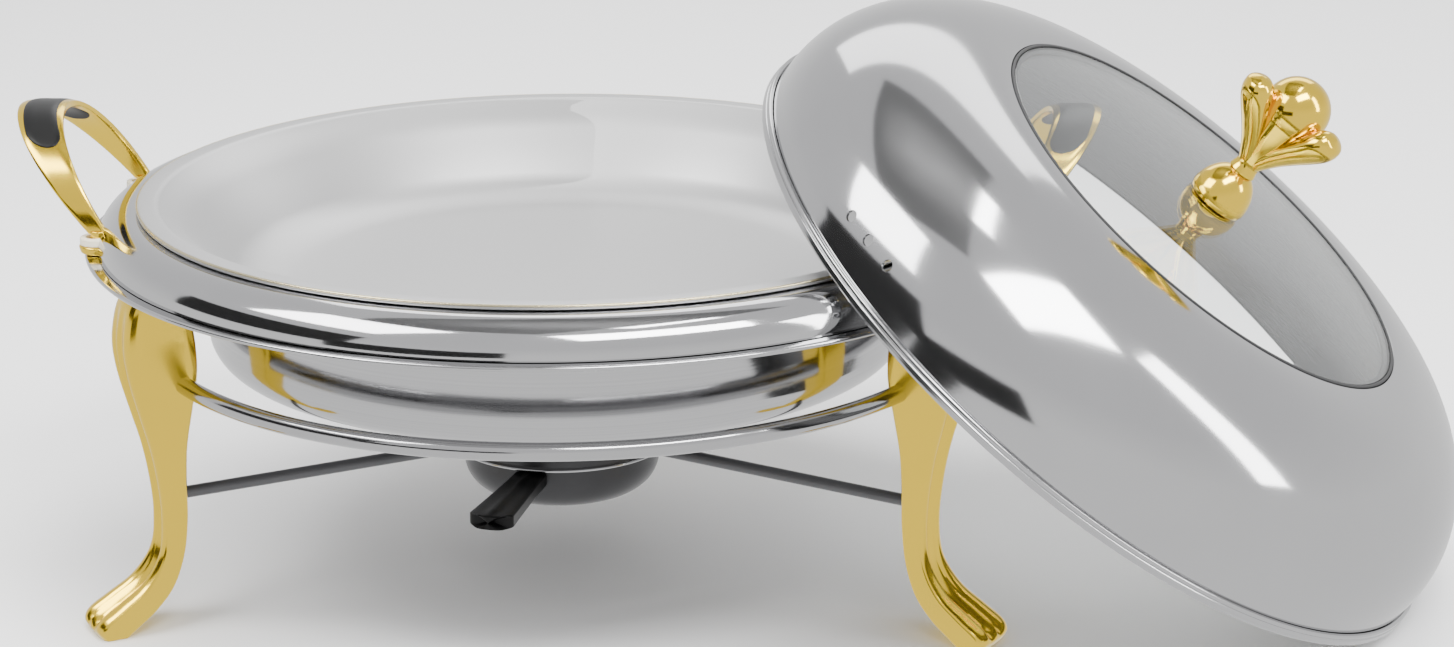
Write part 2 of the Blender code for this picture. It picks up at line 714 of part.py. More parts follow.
def lid_shell(lid):
    """The polished dome: upright side, quarter-round shoulder and the ledge for the glass."""
    bottom = BAND_FLOOR + GAP
    across = SHELL_RADIUS - SEAT_RADIUS - SHEET
    rise = LID_CROWN - LID_SIDE
    centre = SEAT_RADIUS + SHEET
    ledge_in = SEAT_RADIUS - LEDGE_WIDTH
    ledge_bottom = LEDGE_TOP - SHEET
    outline = [(SHELL_RADIUS, bottom)] + arc(centre, LID_SIDE, across, rise, 0, 90, 7)
    outline += [(SEAT_RADIUS, LID_CROWN), (SEAT_RADIUS, LEDGE_TOP), (ledge_in, LEDGE_TOP)]
    outline += [(ledge_in, ledge_bottom), (SEAT_RADIUS + SHEET, ledge_bottom)]
    inner = arc(centre, LID_SIDE, across - SHEET, rise - SHEET, 86, 0, 6)
    outline += inner + [(SHELL_RADIUS - SHEET, bottom)]
    shell = turned("lid_shell", outline, "steel", DISH, lid, ring=True, steps=BROAD_TURNS)
    work = bmesh.new()
    for angle in VENT_ANGLES:
        place = Matrix.Translation(heading(angle) * SHELL_RADIUS + Vector((0.0, 0.0, VENT_HEIGHT)))
        lie = Matrix.Rotation(math.radians(angle), 4, "Z") @ Matrix.Rotation(math.radians(90), 4, "Y")
        bmesh.ops.create_cone(
            work, cap_ends=True, segments=20, radius1=VENT, radius2=VENT, depth=0.016, matrix=place @ lie
        )
    mesh = bpy.data.meshes.new("vent_cutter")
    work.to_mesh(mesh)
    work.free()
    boolean(shell, helper(add("vent_cutter", mesh, None, CUTTERS, lid)))
    band_in = SHELL_RADIUS - SHEET - 0.0006
    band_wall = SHELL_RADIUS + GAP
    band = [(band_in, 0.0), (LID_RADIUS, 0.0), (LID_RADIUS, LID_BAND_HEIGHT)]
    band += [(band_wall, LID_BAND_HEIGHT), (band_wall, BAND_FLOOR), (band_in, BAND_FLOOR)]
    turned("lid_rim_band", band, "steel", DISH, lid, ring=True, steps=BROAD_TURNS)


def lid_glass(lid):
    """The round window, the seal round its edge and under it."""
    hole = KNOB_SCREW + GAP
    pane = ring_section(hole, WINDOW_RADIUS, GLASS_BOTTOM, GLASS_TOP)
    turned("lid_glass", pane, "glass", DISH, lid, ring=True, steps=BROAD_TURNS)
    inner = SEAT_RADIUS - LEDGE_WIDTH + 0.0005
    wall = WINDOW_RADIUS + GAP
    seal = [(inner, SEAL_BOTTOM), (SEAL_OUTER, SEAL_BOTTOM), (SEAL_OUTER, GLASS_TOP + 0.0002)]
    seal += [(wall, GLASS_TOP + 0.0002), (wall, SEAL_BOTTOM + SEAL_FLOOR), (inner, SEAL_BOTTOM + SEAL_FLOOR)]
    turned("glass_seal", seal, "rubber", DISH, lid, ring=True, steps=BROAD_TURNS)


def knob(lid):
    """Round base, tulip with a ball in it, and the screw and washer under the glass."""
    bottom = GLASS_TOP + GAP
    top = bottom + KNOB_BASE_HEIGHT
    bore = KNOB_SCREW + GAP
    neck_low = KNOB_NECK + 0.0006
    lift = 0.0012
    base = [(bore, bottom), (KNOB_FOOT, bottom)]
    base += arc(0.0, bottom + lift, KNOB_FOOT, KNOB_BASE_HEIGHT - lift, 0, 67, 6)
    base += [(neck_low, top), (bore, top)]
    turned("knob_base", base, "gold", DISH, lid, ring=True, steps=TURNS)

    start = top + GAP
    ball_top = bottom + KNOB_HEIGHT
    ball_z = ball_top - KNOB_BALL
    blind = start + KNOB_BORE
    tip = ball_z + 0.0022
    body = [(0.0, blind), (bore, blind), (bore, start), (neck_low, start), (KNOB_NECK, start + 0.0045)]
    body += [(0.0085, start + 0.0110), (0.0150, start + 0.0158), (KNOB_WIDTH * 0.97, start + 0.0225)]
    body += [(KNOB_WIDTH, tip - 0.0030), (KNOB_WIDTH * 0.90, tip), (KNOB_BALL + 0.0022, tip - 0.0030)]
    body += arc(0.0, ball_z, KNOB_BALL, KNOB_BALL, 0, 90, 8)[:-1] + [(0.0, ball_top)]
    turned("knob_body", body, "gold", DISH, lid, steps=TURNS)

    washer_top = GLASS_BOTTOM - GAP
    washer = ring_section(bore, WASHER_RADIUS, washer_top - WASHER_THICKNESS, washer_top)
    turned("knob_washer", washer, "gold", DISH, lid, ring=True, steps=TURNS)
    head_top = washer_top - WASHER_THICKNESS - GAP
    outline = [(0.0, head_top - 0.0026), (0.0030, head_top - 0.0026), (0.0048, head_top - 0.0008)]
    outline += [(0.0048, head_top), (KNOB_SCREW, head_top)]
    outline += [(KNOB_SCREW, blind - 0.0020), (0.0, blind - 0.0020)]
    turned("knob_screw", outline, "gold", DISH, lid, steps=SCREW_TURNS)


def lid_tilt():
    """The lean at which the rim stands on the floor and the glass clears the handle's outer edge.

    The clearance depends a little on the lean itself, so it is found again a few times.
    """
    reach = math.hypot(HANDLE_TOP_Z, LID_STANDOFF)
    tilt = math.radians(45)
    for _ in range(12):
        rest = HANDLE_TOP_WIDTH / 2 * math.sin(tilt) + HANDLE_THICKNESS / 2 * math.cos(tilt) + LID_CLEARANCE
        tilt = math.acos((GLASS_BOTTOM - rest) / reach) - math.atan2(LID_STANDOFF, HANDLE_TOP_Z)
    return tilt


def lid_parts():
    """The lid's frame: the rim's lowest point on the floor, the glass just over the right handle."""
    lid = bpy.data.objects.new("lid_axis", None)
    DISH.objects.link(lid)
    tilt = lid_tilt()
    down = heading(LID_HEADING)
    along = LID_STANDOFF - LID_RADIUS * math.cos(tilt)
    centre_x = HANDLE_TOP_X + (along - LID_CENTRE_Y * down.y) / down.x
    lid.location = (centre_x, LID_CENTRE_Y, LID_RADIUS * math.sin(tilt))
    lid.rotation_euler = (0.0, tilt, math.radians(LID_HEADING))
    lid_shell(lid)
    lid_glass(lid)
    knob(lid)


def centre_footprint():
    """Moves everything so that the middle of the whole footprint is on the origin."""
    bpy.context.view_layer.update()
    graph = bpy.context.evaluated_depsgraph_get()
    corners = []
    for obj in DISH.objects:
        if obj.type != "EMPTY":
            shape = obj.evaluated_get(graph)
            mesh = shape.to_mesh()
            corners += [shape.matrix_world @ vertex.co for vertex in mesh.vertices]
            shape.to_mesh_clear()
    middle_x = (min(corner.x for corner in corners) + max(corner.x for corner in corners)) / 2
    middle_y = (min(corner.y for corner in corners) + max(corner.y for corner in corners)) / 2
    for obj in list(DISH.objects) + list(CUTTERS.objects):
        if obj.parent is None:
            obj.location.x -= middle_x
            obj.location.y -= middle_y


for old in list(bpy.data.objects):
    bpy.data.objects.remove(old)
DISH = collection("chafing_dish_food_warmer")
CUTTERS = collection("cutters", hidden=True)

legs()
support_ring()
braces()
burner()
water_pan()
pan_shoulder()
food_pan()
handle("handle_left", -1)
handle("handle_right", 1)
ferrules()
lid_parts()
centre_footprint()
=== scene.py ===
"""Round chafing dish food warmer: the visible pieces, their finishes and a plain studio."""

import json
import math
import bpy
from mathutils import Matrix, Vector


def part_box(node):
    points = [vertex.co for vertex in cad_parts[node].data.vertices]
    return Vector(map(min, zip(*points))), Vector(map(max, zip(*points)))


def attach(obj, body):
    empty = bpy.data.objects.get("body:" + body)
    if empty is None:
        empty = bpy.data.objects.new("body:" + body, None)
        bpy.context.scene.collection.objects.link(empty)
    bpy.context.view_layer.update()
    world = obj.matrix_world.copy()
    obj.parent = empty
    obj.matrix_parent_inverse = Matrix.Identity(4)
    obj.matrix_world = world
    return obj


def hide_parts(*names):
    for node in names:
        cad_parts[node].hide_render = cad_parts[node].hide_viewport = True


bl_info = {
    "name": "Chafing Dish Food Warmer",
    "version": (1, 0, 0),
    "blender": (4, 5, 0),
    "location": "3D View > Sidebar > Food Warmer",
    "description": "Builds the pieces and finishes of a round chafing dish with its lid set down",
    "category": "Add Mesh",
}

import bmesh
import bpy
from bpy.props import FloatProperty, FloatVectorProperty, IntProperty, PointerProperty
from mathutils import Matrix, Vector

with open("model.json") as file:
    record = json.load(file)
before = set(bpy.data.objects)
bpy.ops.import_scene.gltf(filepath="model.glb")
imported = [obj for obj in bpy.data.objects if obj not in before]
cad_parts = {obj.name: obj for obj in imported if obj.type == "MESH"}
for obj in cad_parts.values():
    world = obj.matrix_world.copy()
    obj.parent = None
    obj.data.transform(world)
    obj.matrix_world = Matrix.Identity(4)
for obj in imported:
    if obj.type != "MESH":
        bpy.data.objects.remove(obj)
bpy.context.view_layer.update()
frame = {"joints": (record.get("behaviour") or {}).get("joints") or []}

WELD = 0.000002  # points nearer than this are one
GAP = 0.0003  # clearance between pieces that touch
SHEET = 0.001  # pressed sheet of the pans and the lid
ROUND_STEPS = 192  # steps of a turned piece as wide as the dish
SMALL_STEPS = 96  # steps of a small turned piece
SHARP = 42  # degrees between faces from which an edge stays sharp
FLAT = 0.0003  # how far past a rounded corner the shading turns flat

LEG_ANGLES = {"front_left": 210, "front_right": 330, "rear": 90}
FOOT_SIDES = {"left_front": (-1, -1), "left_back": (-1, 1), "right_front": (1, -1), "right_back": (1, 1)}

RING_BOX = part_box("support_ring")
DISH_AXIS = (RING_BOX[0] + RING_BOX[1]) / 2
DISH_AXIS.z = 0.0  # the pieces are shaped about the dish's axis, then moved here
TO_FRAME = Matrix.Translation(DISH_AXIS)


def box(node):
    """A CAD node's lowest and highest corner, measured from the dish's axis."""
    low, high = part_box(node)
    return low - DISH_AXIS, high - DISH_AXIS


SHOULDER_LOW, SHOULDER_HIGH = box("pan_shoulder")
PAN_LOW, PAN_HIGH = box("water_pan")
FOOD_LOW, FOOD_HIGH = box("food_pan")
RING_LOW, RING_HIGH = box("support_ring")
HOLDER_LOW, HOLDER_HIGH = box("burner_holder")
CUP_LOW, CUP_HIGH = box("burner_cup")
POT_LOW, POT_HIGH = box("fuel_pot")
BRACE_LOW, BRACE_HIGH = box("brace_rear")
SCREW_LOW, SCREW_HIGH = box("handle_screw_right_back")
FERRULE_LOW, FERRULE_HIGH = box("handle_ferrule_right_back")
LEVER_LOW, LEVER_HIGH = box("burner_lever")
LEG_HIGH = box("leg_rear")[1]


# ---------------------------------------------------------------- sizes and colours


class StandSizes(bpy.types.PropertyGroup):
    flute_depth: FloatProperty(
        name="Flute depth", description="Depth of the grooves down the front of a leg", default=0.0026,
        min=0.0, max=0.004, unit="LENGTH", precision=4,
    )
    corner: FloatProperty(
        name="Leg corner", description="Rounding of a leg's corners, as a share of its half width",
        default=0.34, min=0.05, max=0.9, subtype="FACTOR",
    )
    ring_rod: FloatProperty(
        name="Ring rod", description="Radius of the rod of the support ring",
        default=(RING_HIGH.z - RING_LOW.z) / 2, min=0.001, unit="LENGTH", precision=4,
    )
    brace_rod: FloatProperty(
        name="Brace rod", description="Radius of the rods that carry the burner", default=0.0022,
        min=0.001, unit="LENGTH", precision=4,
    )


class BurnerSizes(bpy.types.PropertyGroup):
    cup_wall: FloatProperty(
        name="Cup wall", description="Thickness of the burner cup", default=0.0012, min=0.0005,
        unit="LENGTH", precision=4,
    )
    lever_root: FloatProperty(
        name="Lever root", description="Width of the lever where it meets the cup", default=0.0120,
        min=0.004, unit="LENGTH", precision=4,
    )
    lever_end: FloatProperty(
        name="Lever end", description="Width of the lever's flared end", default=0.0172, min=0.004,
        unit="LENGTH", precision=4,
    )
    lever_ridge: FloatProperty(
        name="Lever ridge", description="How far the rib along the lever's top stands up", default=0.0008,
        min=0.0, unit="LENGTH", precision=4,
    )


class PanSizes(bpy.types.PropertyGroup):
    rim_band: FloatProperty(
        name="Rim band", description="Width of the food pan's flat rim", default=0.0075, min=0.002,
        unit="LENGTH", precision=4,
    )
    basin_floor: FloatProperty(
        name="Basin floor", description="Radius of the food pan's flat floor", default=0.1050, min=0.02,
        unit="LENGTH",
    )
    trim: FloatProperty(
        name="Rim trim", description="Radius of the pale gold line round the food pan's rim",
        default=0.0005, min=0.0002, unit="LENGTH", precision=4,
    )


class HandleSizes(bpy.types.PropertyGroup):
    foot_width: FloatProperty(
        name="Foot width", description="Width of a handle's strap at its feet", default=0.0069, min=0.002,
        unit="LENGTH", precision=4,
    )
    top_width: FloatProperty(
        name="Top width", description="Width of a handle's strap at its top", default=0.0175, min=0.004,
        unit="LENGTH", precision=4,
    )
    thickness: FloatProperty(
        name="Thickness", description="Thickness of a handle's strap", default=0.0030, min=0.001,
        unit="LENGTH", precision=4,
    )
    inlay_width: FloatProperty(
        name="Inlay width", description="Width of the black grip let into the strap", default=0.0135,
        min=0.002, unit="LENGTH", precision=4,
    )
    inlay_reach: FloatProperty(
        name="Inlay reach", description="How far the black grip runs down each side of the arch",
        default=math.radians(43), subtype="ANGLE",
    )


class LidSizes(bpy.types.PropertyGroup):
    radius: FloatProperty(
        name="Lid radius", description="Outer radius of the rim band", default=0.1516, min=0.05,
        unit="LENGTH", precision=4,
    )
    crown: FloatProperty(
        name="Crown height", description="Height of the window above the rim's plane", default=0.0636,
        min=0.02, unit="LENGTH", precision=4,
    )
    window: FloatProperty(
        name="Window radius", description="Radius of the glass", default=0.0868, min=0.02, unit="LENGTH",
        precision=4,
    )
    vent: FloatProperty(
        name="Vent radius", description="Radius of a steam hole", default=0.0021, min=0.0005,
        unit="LENGTH", precision=4,
    )
    petals: IntProperty(
        name="Petals", description="Lobes round the knob's ball", default=3, min=3, max=8,
    )


class Colours(bpy.types.PropertyGroup):
    steel: FloatVectorProperty(
        name="Polished steel", description="Colour of the polished steel", default=(0.50, 0.50, 0.507),
        size=3, min=0.0, max=1.0, subtype="COLOR",
    )
    # The brushed finish is real. Its very dark tone is painted shade standing in for the shade inside the
    # food pan.
    satin: FloatVectorProperty(
        name="Satin steel", description="Colour of the food pan's brushed steel",
        default=(0.10, 0.099, 0.098), size=3, min=0.0, max=1.0, subtype="COLOR",
    )
    gold: FloatVectorProperty(
        name="Pale gold", description="Colour of the plated legs, handles and knob",
        default=(0.88, 0.60, 0.05), size=3, min=0.0, max=1.0, subtype="COLOR",
    )
    dark: FloatVectorProperty(
        name="Dark steel", description="Colour of the burner and its rods", default=(0.055, 0.055, 0.057),
        size=3, min=0.0, max=1.0, subtype="COLOR",
    )
    black: FloatVectorProperty(
        name="Black plastic", description="Colour of the grips and the lever",
        default=(0.003, 0.003, 0.003), size=3, min=0.0, max=1.0, subtype="COLOR",
    )


class StageSettings(bpy.types.PropertyGroup):
    camera_place: FloatVectorProperty(
        name="Camera place", description="Where the camera stands, from the dish's axis",
        default=(0.1045, -1.2, 0.4541), size=3, subtype="TRANSLATION", unit="LENGTH",
    )
    camera_turn: FloatVectorProperty(
        name="Camera turn", description="How the camera is turned",
        default=(math.radians(73.14), 0.0, math.radians(1.99)), size=3, subtype="EULER",
    )
    focal_length: FloatProperty(
        name="Focal length", description="Focal length in millimetres on a 36 mm sensor", default=82.7,
        min=10.0,
    )
    light: FloatProperty(
        name="Light", description="Multiplies the power of every studio light", default=1.0, min=0.0,
        subtype="FACTOR", soft_max=4.0,
    )


class WarmerSettings(bpy.types.PropertyGroup):
    stand: PointerProperty(type=StandSizes)
    burner: PointerProperty(type=BurnerSizes)
    pan: PointerProperty(type=PanSizes)
    handle: PointerProperty(type=HandleSizes)
    lid: PointerProperty(type=LidSizes)
    colour: PointerProperty(type=Colours)
    stage: PointerProperty(type=StageSettings)


# ---------------------------------------------------------------- shaping


def arc(centre_x, centre_z, radius_x, radius_z, start, end, count):
    """Points of an elliptical arc, from one angle to another in degrees, both ends included."""
    points = []
    for step in range(count + 1):
        angle = math.radians(start + (end - start) * step / count)
        points.append((centre_x + radius_x * math.cos(angle), centre_z + radius_z * math.sin(angle)))
    return points


def rounded(points, closed=False, count=5):
    """A profile whose points (x, z, radius) are rounded, and whose points (x, z) stay as they are."""
    made = []
    last = len(points) - 1
    for index, point in enumerate(points):
        if len(point) < 3 or (not closed and index in (0, last)):
            made.append(Vector(point[:2]))
            continue
        corner = Vector(point[:2])
        before = Vector(points[index - 1][:2]) - corner
        after = Vector(points[(index + 1) % len(points)][:2]) - corner
        reach = min(point[2], before.length * 0.48, after.length * 0.48)
        first = corner + before.normalized() * reach
        second = corner + after.normalized() * reach
        made.append(corner + before.normalized() * min(reach + FLAT, before.length * 0.5))
        for step in range(count + 1):
            share = step / count
            made.append(first * (1 - share) ** 2 + corner * 2 * share * (1 - share) + second * share**2)
        made.append(corner + after.normalized() * min(reach + FLAT, after.length * 0.5))
    return made


def turned(points, steps=SMALL_STEPS, closed=False):
    """A turned bmesh: the profile in X and Z, spun about Z."""
    work = bmesh.new()
    profile = [work.verts.new((x, 0.0, z)) for x, z in points]
    for first, second in zip(profile, profile[1:]):
        work.edges.new((first, second))
    if closed:
        work.edges.new((profile[-1], profile[0]))
    bmesh.ops.spin(
        work,
        geom=work.verts[:] + work.edges[:],
        cent=(0.0, 0.0, 0.0),
        axis=(0.0, 0.0, 1.0),
        angle=math.tau,
        steps=steps,
        use_merge=True,
        use_duplicate=False,
    )
    bmesh.ops.remove_doubles(work, verts=work.verts, dist=WELD)
    return work


def swept(rows, around, place):
    """A tube: a grid rolled up and closed at both ends, each point put by place(along, turn)."""
    work = bmesh.new()
    bmesh.ops.create_grid(work, x_segments=rows, y_segments=around, size=1.0)
    for vertex in work.verts:
        vertex.co = place((vertex.co.x + 1) / 2, (vertex.co.y + 1) / 2)
    bmesh.ops.remove_doubles(work, verts=work.verts, dist=WELD)
    bmesh.ops.holes_fill(work, edges=work.edges, sides=0)
    return work


def section(turn, corner):
    """A point of a rounded square of half size 1, a share of the way round it."""
    side = int(turn * 4) % 4
    along = -1 + 2 * (turn * 4 - int(turn * 4))
    across, up = [(along, -1.0), (1.0, along), (-along, 1.0), (-1.0, -along)][side]
    core = 1 - corner
    inner_across = max(-core, min(core, across))
    inner_up = max(-core, min(core, up))
    offset = Vector((across - inner_across, up - inner_up))
    if offset.x and offset.y:
        offset = offset.normalized() * corner
    return inner_across + offset.x, inner_up + offset.y


def through(stations, share):
    """A smooth curve through rows of numbers, read at a share of its length."""
    last = len(stations) - 1
    place = share * last
    index = min(int(place), last - 1)
    part = place - index
    rows = [stations[max(0, min(last, index + step))] for step in (-1, 0, 1, 2)]
    values = []
    for a, b, c, d in zip(*rows):
        first = 2 * b + (c - a) * part
        second = (2 * a - 5 * b + 4 * c - d) * part**2
        third = (3 * b - a - 3 * c + d) * part**3
        values.append((first + second + third) / 2)
    return values


def piece(name, work, finish, body, replaced=(), sharp=SHARP):
    """The bmesh as a named piece with its finish, in the frame's place and riding on its body."""
    work.transform(TO_FRAME)
    bmesh.ops.recalc_face_normals(work, faces=work.faces)
    mesh = bpy.data.meshes.new(name)
    work.to_mesh(mesh)
    work.free()
    mesh.shade_smooth()
    mesh.set_sharp_from_angle(angle=math.radians(sharp))
    obj = bpy.data.objects.new(name, mesh)
    bpy.context.scene.collection.objects.link(obj)
    mesh.materials.append(finish)
    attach(obj, body)
    if replaced:
        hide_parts(*replaced)
    return obj


def merge(into, work):
    """Adds one bmesh to another, and frees it."""
    mesh = bpy.data.meshes.new("merged")
    work.to_mesh(mesh)
    work.free()
    into.from_mesh(mesh)
    bpy.data.meshes.remove(mesh)


def upright_rod(radius, bottom, top, corner, steps=48):
    """A turned rod with rounded ends."""
    outline = [(0.0, bottom), (radius, bottom, corner), (radius, top, corner), (0.0, top)]
    return turned(rounded(outline), steps)


def heading(angle):
    return Vector((math.cos(math.radians(angle)), math.sin(math.radians(angle)), 0.0))


# ---------------------------------------------------------------- shader groups


def new_group(name, inputs, outputs):
    """An empty shader node group with its named sockets."""
    group = bpy.data.node_groups.new(name, "ShaderNodeTree")
    for label, kind, value in inputs:
        socket = group.interface.new_socket(name=label, in_out="INPUT", socket_type=kind)
        if value is not None:
            socket.default_value = value
    for label, kind in outputs:
        group.interface.new_socket(name=label, in_out="OUTPUT", socket_type=kind)
    entry = group.nodes.new("NodeGroupInput")
    leave = group.nodes.new("NodeGroupOutput")
    entry.location = (-900, 0)
    leave.location = (500, 0)
    return group, entry, leave


def math_node(tree, operation, first, second=None):
    """A Math node whose operands are sockets or plain numbers."""
    node = tree.nodes.new("ShaderNodeMath")
    node.operation = operation
    for socket, value in zip(node.inputs, (first, second)):
        if value is None:
            continue
        if isinstance(value, (int, float)):
            socket.default_value = value
        else:
            tree.links.new(value, socket)
    return node.outputs[0]


def noise_node(tree, vector, scale, detail=3.0, roughness=0.55, distortion=0.0):
    node = tree.nodes.new("ShaderNodeTexNoise")
    node.inputs["Detail"].default_value = detail
    node.inputs["Roughness"].default_value = roughness
    node.inputs["Distortion"].default_value = distortion
    if isinstance(scale, (int, float)):
        node.inputs["Scale"].default_value = scale
    else:
        tree.links.new(scale, node.inputs["Scale"])
    tree.links.new(vector, node.inputs["Vector"])
    return node.outputs["Fac"]


def polish_group():
    """Faint haze and fine wiping marks of polished or plated metal."""
    group, entry, leave = new_group(
        "polish_haze",
        [
            ("Vector", "NodeSocketVector", None),
            ("Roughness", "NodeSocketFloat", 0.08),
            ("Haze", "NodeSocketFloat", 0.04),
            ("Marks", "NodeSocketFloat", 900.0),
        ],
        [("Roughness", "NodeSocketFloat"), ("Height", "NodeSocketFloat"), ("Tint", "NodeSocketFloat")],
    )
    cloud = noise_node(group, entry.outputs["Vector"], 22.0, detail=4.0, distortion=0.6)
    fine = noise_node(group, entry.outputs["Vector"], entry.outputs["Marks"], detail=2.0)
    lifted = math_node(group, "MULTIPLY", cloud, entry.outputs["Haze"])
    total = math_node(group, "ADD", lifted, entry.outputs["Roughness"])
    group.links.new(total, leave.inputs["Roughness"])
    group.links.new(fine, leave.inputs["Height"])
    group.links.new(cloud, leave.inputs["Tint"])
    return group


def turning_group():
    """Fine rings left by spinning and brushing, about the Z of the given coordinates."""
    group, entry, leave = new_group(
        "turning_lines",
        [
            ("Vector", "NodeSocketVector", None),
            ("Lines", "NodeSocketFloat", 2400.0),
            ("Roughness", "NodeSocketFloat", 0.3),
            ("Spread", "NodeSocketFloat", 0.12),
        ],
        [("Roughness", "NodeSocketFloat"), ("Height", "NodeSocketFloat")],
    )
    split = group.nodes.new("ShaderNodeSeparateXYZ")
    group.links.new(entry.outputs["Vector"], split.inputs[0])
    square = math_node(
        group,
        "ADD",
        math_node(group, "POWER", split.outputs["X"], 2.0),
        math_node(group, "POWER", split.outputs["Y"], 2.0),
    )
    radius = math_node(group, "SQRT", square)
    rings = group.nodes.new("ShaderNodeTexNoise")
    rings.noise_dimensions = "2D"
    rings.inputs["Detail"].default_value = 2.0
    rings.inputs["Scale"].default_value = 1.0
    join = group.nodes.new("ShaderNodeCombineXYZ")
    group.links.new(math_node(group, "MULTIPLY", radius, entry.outputs["Lines"]), join.inputs["X"])
    group.links.new(
        math_node(group, "MULTIPLY", split.outputs["Z"], entry.outputs["Lines"]), join.inputs["Y"]
    )
    group.links.new(join.outputs[0], rings.inputs["Vector"])
    cloud = noise_node(group, entry.outputs["Vector"], 14.0, detail=3.0)
    mixed = math_node(group, "MULTIPLY", math_node(group, "ADD", rings.outputs["Fac"], cloud), 0.5)
    spread = math_node(group, "MULTIPLY", mixed, entry.outputs["Spread"])
    group.links.new(math_node(group, "ADD", spread, entry.outputs["Roughness"]), leave.inputs["Roughness"])
    group.links.new(rings.outputs["Fac"], leave.inputs["Height"])
    return group


def grain_group():
    """Fine even grain of moulded plastic, rubber or painted metal."""
    group, entry, leave = new_group(
        "moulded_grain",
        [
            ("Vector", "NodeSocketVector", None),
            ("Scale", "NodeSocketFloat", 1800.0),
            ("Roughness", "NodeSocketFloat", 0.4),
            ("Spread", "NodeSocketFloat", 0.15),
        ],
        [("Roughness", "NodeSocketFloat"), ("Height", "NodeSocketFloat"), ("Tint", "NodeSocketFloat")],
    )
    fine = noise_node(group, entry.outputs["Vector"], entry.outputs["Scale"], detail=3.0, roughness=0.7)
    cloud = noise_node(group, entry.outputs["Vector"], 45.0, detail=4.0)
    spread = math_node(group, "MULTIPLY", cloud, entry.outputs["Spread"])
    group.links.new(math_node(group, "ADD", spread, entry.outputs["Roughness"]), leave.inputs["Roughness"])
    group.links.new(fine, leave.inputs["Height"])
    group.links.new(cloud, leave.inputs["Tint"])
    return group


def group_named(name):
    """The shared shader group, built the first time it is asked for."""
    makers = {"polish_haze": polish_group, "turning_lines": turning_group, "moulded_grain": grain_group}
    return bpy.data.node_groups.get(name) or makers[name]()


# ---------------------------------------------------------------- finishes


def new_material(name):
    made = bpy.data.materials.new(name)
    made.use_nodes = True
    tree = made.node_tree
    return made, tree, tree.nodes["Principled BSDF"]


def coordinates(tree, placed=None):
    """Object coordinates about the dish's axis, or in the frame of placed when that is given."""
    placed = TO_FRAME @ placed if placed else TO_FRAME
    source = tree.nodes.new("ShaderNodeTexCoord")
    mapping = tree.nodes.new("ShaderNodeMapping")
    mapping.vector_type = "TEXTURE"
    mapping.inputs["Location"].default_value = placed.translation
    mapping.inputs["Rotation"].default_value = placed.to_euler()
    tree.links.new(source.outputs["Object"], mapping.inputs["Vector"])
    return mapping.outputs["Vector"]


def use_group(tree, name, vector, **values):
    """Places a shared group and sets its named inputs."""
    node = tree.nodes.new("ShaderNodeGroup")
    node.node_tree = group_named(name)
    tree.links.new(vector, node.inputs["Vector"])
    for label, value in values.items():
        node.inputs[label].default_value = value
    return node


def bump(tree, shader, height, strength, distance):
    node = tree.nodes.new("ShaderNodeBump")
    node.inputs["Strength"].default_value = strength
    node.inputs["Distance"].default_value = distance
    tree.links.new(height, node.inputs["Height"])
    tree.links.new(node.outputs["Normal"], shader.inputs["Normal"])


def tint(tree, shader, factor, low, high):
    """A colour that drifts between two near tones."""
    ramp = tree.nodes.new("ShaderNodeMix")
    ramp.data_type = "RGBA"
    ramp.inputs["A"].default_value = (*low, 1.0)
    ramp.inputs["B"].default_value = (*high, 1.0)
    tree.links.new(factor, ramp.inputs["Factor"])
    tree.links.new(ramp.outputs["Result"], shader.inputs["Base Color"])


def shade(colour, amount):
    return tuple(min(1.0, channel * amount) for channel in colour)


def polished_metal(name, colour, roughness, haze, placed=None, marks=900.0, strength=0.03):
    """Mirror metal with faint haze and wiping marks."""
    made, tree, shader = new_material(name)
    shader.inputs["Metallic"].default_value = 1.0
    vector = coordinates(tree, placed)
    polish = use_group(tree, "polish_haze", vector, Roughness=roughness, Haze=haze, Marks=marks)
    tree.links.new(polish.outputs["Roughness"], shader.inputs["Roughness"])
    tint(tree, shader, polish.outputs["Tint"], shade(colour, 0.95), shade(colour, 1.04))
    bump(tree, shader, polish.outputs["Height"], strength, 0.0001)
    return made


def spun_metal(name, colour, roughness, spread, lines, strength, placed=None):
    """Metal with the fine rings that spinning and brushing leave."""
    made, tree, shader = new_material(name)
    shader.inputs["Metallic"].default_value = 1.0
    vector = coordinates(tree, placed)
    rings = use_group(tree, "turning_lines", vector, Lines=lines, Roughness=roughness, Spread=spread)
    tree.links.new(rings.outputs["Roughness"], shader.inputs["Roughness"])
    tint(tree, shader, rings.outputs["Height"], shade(colour, 0.93), shade(colour, 1.06))
    bump(tree, shader, rings.outputs["Height"], strength, 0.0001)
    return made


def grained(name, colour, roughness, spread, scale, strength, metallic=0.0, gloss=0.5):
    """Moulded plastic, rubber or painted metal with a fine grain."""
    made, tree, shader = new_material(name)
    shader.inputs["Metallic"].default_value = metallic
    shader.inputs["Specular IOR Level"].default_value = gloss
    vector = coordinates(tree)
    grain = use_group(tree, "moulded_grain", vector, Scale=scale, Roughness=roughness, Spread=spread)
    tree.links.new(grain.outputs["Roughness"], shader.inputs["Roughness"])
    tint(tree, shader, grain.outputs["Tint"], shade(colour, 0.8), shade(colour, 1.25))
    bump(tree, shader, grain.outputs["Height"], strength, 0.0002)
    return made


def clear_glass(name, placed):
    """Window glass with a faint bloom from wiping."""
    made, tree, shader = new_material(name)
    shader.inputs["Base Color"].default_value = (0.93, 0.955, 0.95, 1.0)
    shader.inputs["Transmission Weight"].default_value = 1.0
    shader.inputs["IOR"].default_value = 1.45
    vector = coordinates(tree, placed)
    polish = use_group(tree, "polish_haze", vector, Roughness=0.0, Haze=0.02, Marks=500.0)
    tree.links.new(polish.outputs["Roughness"], shader.inputs["Roughness"])
    return made


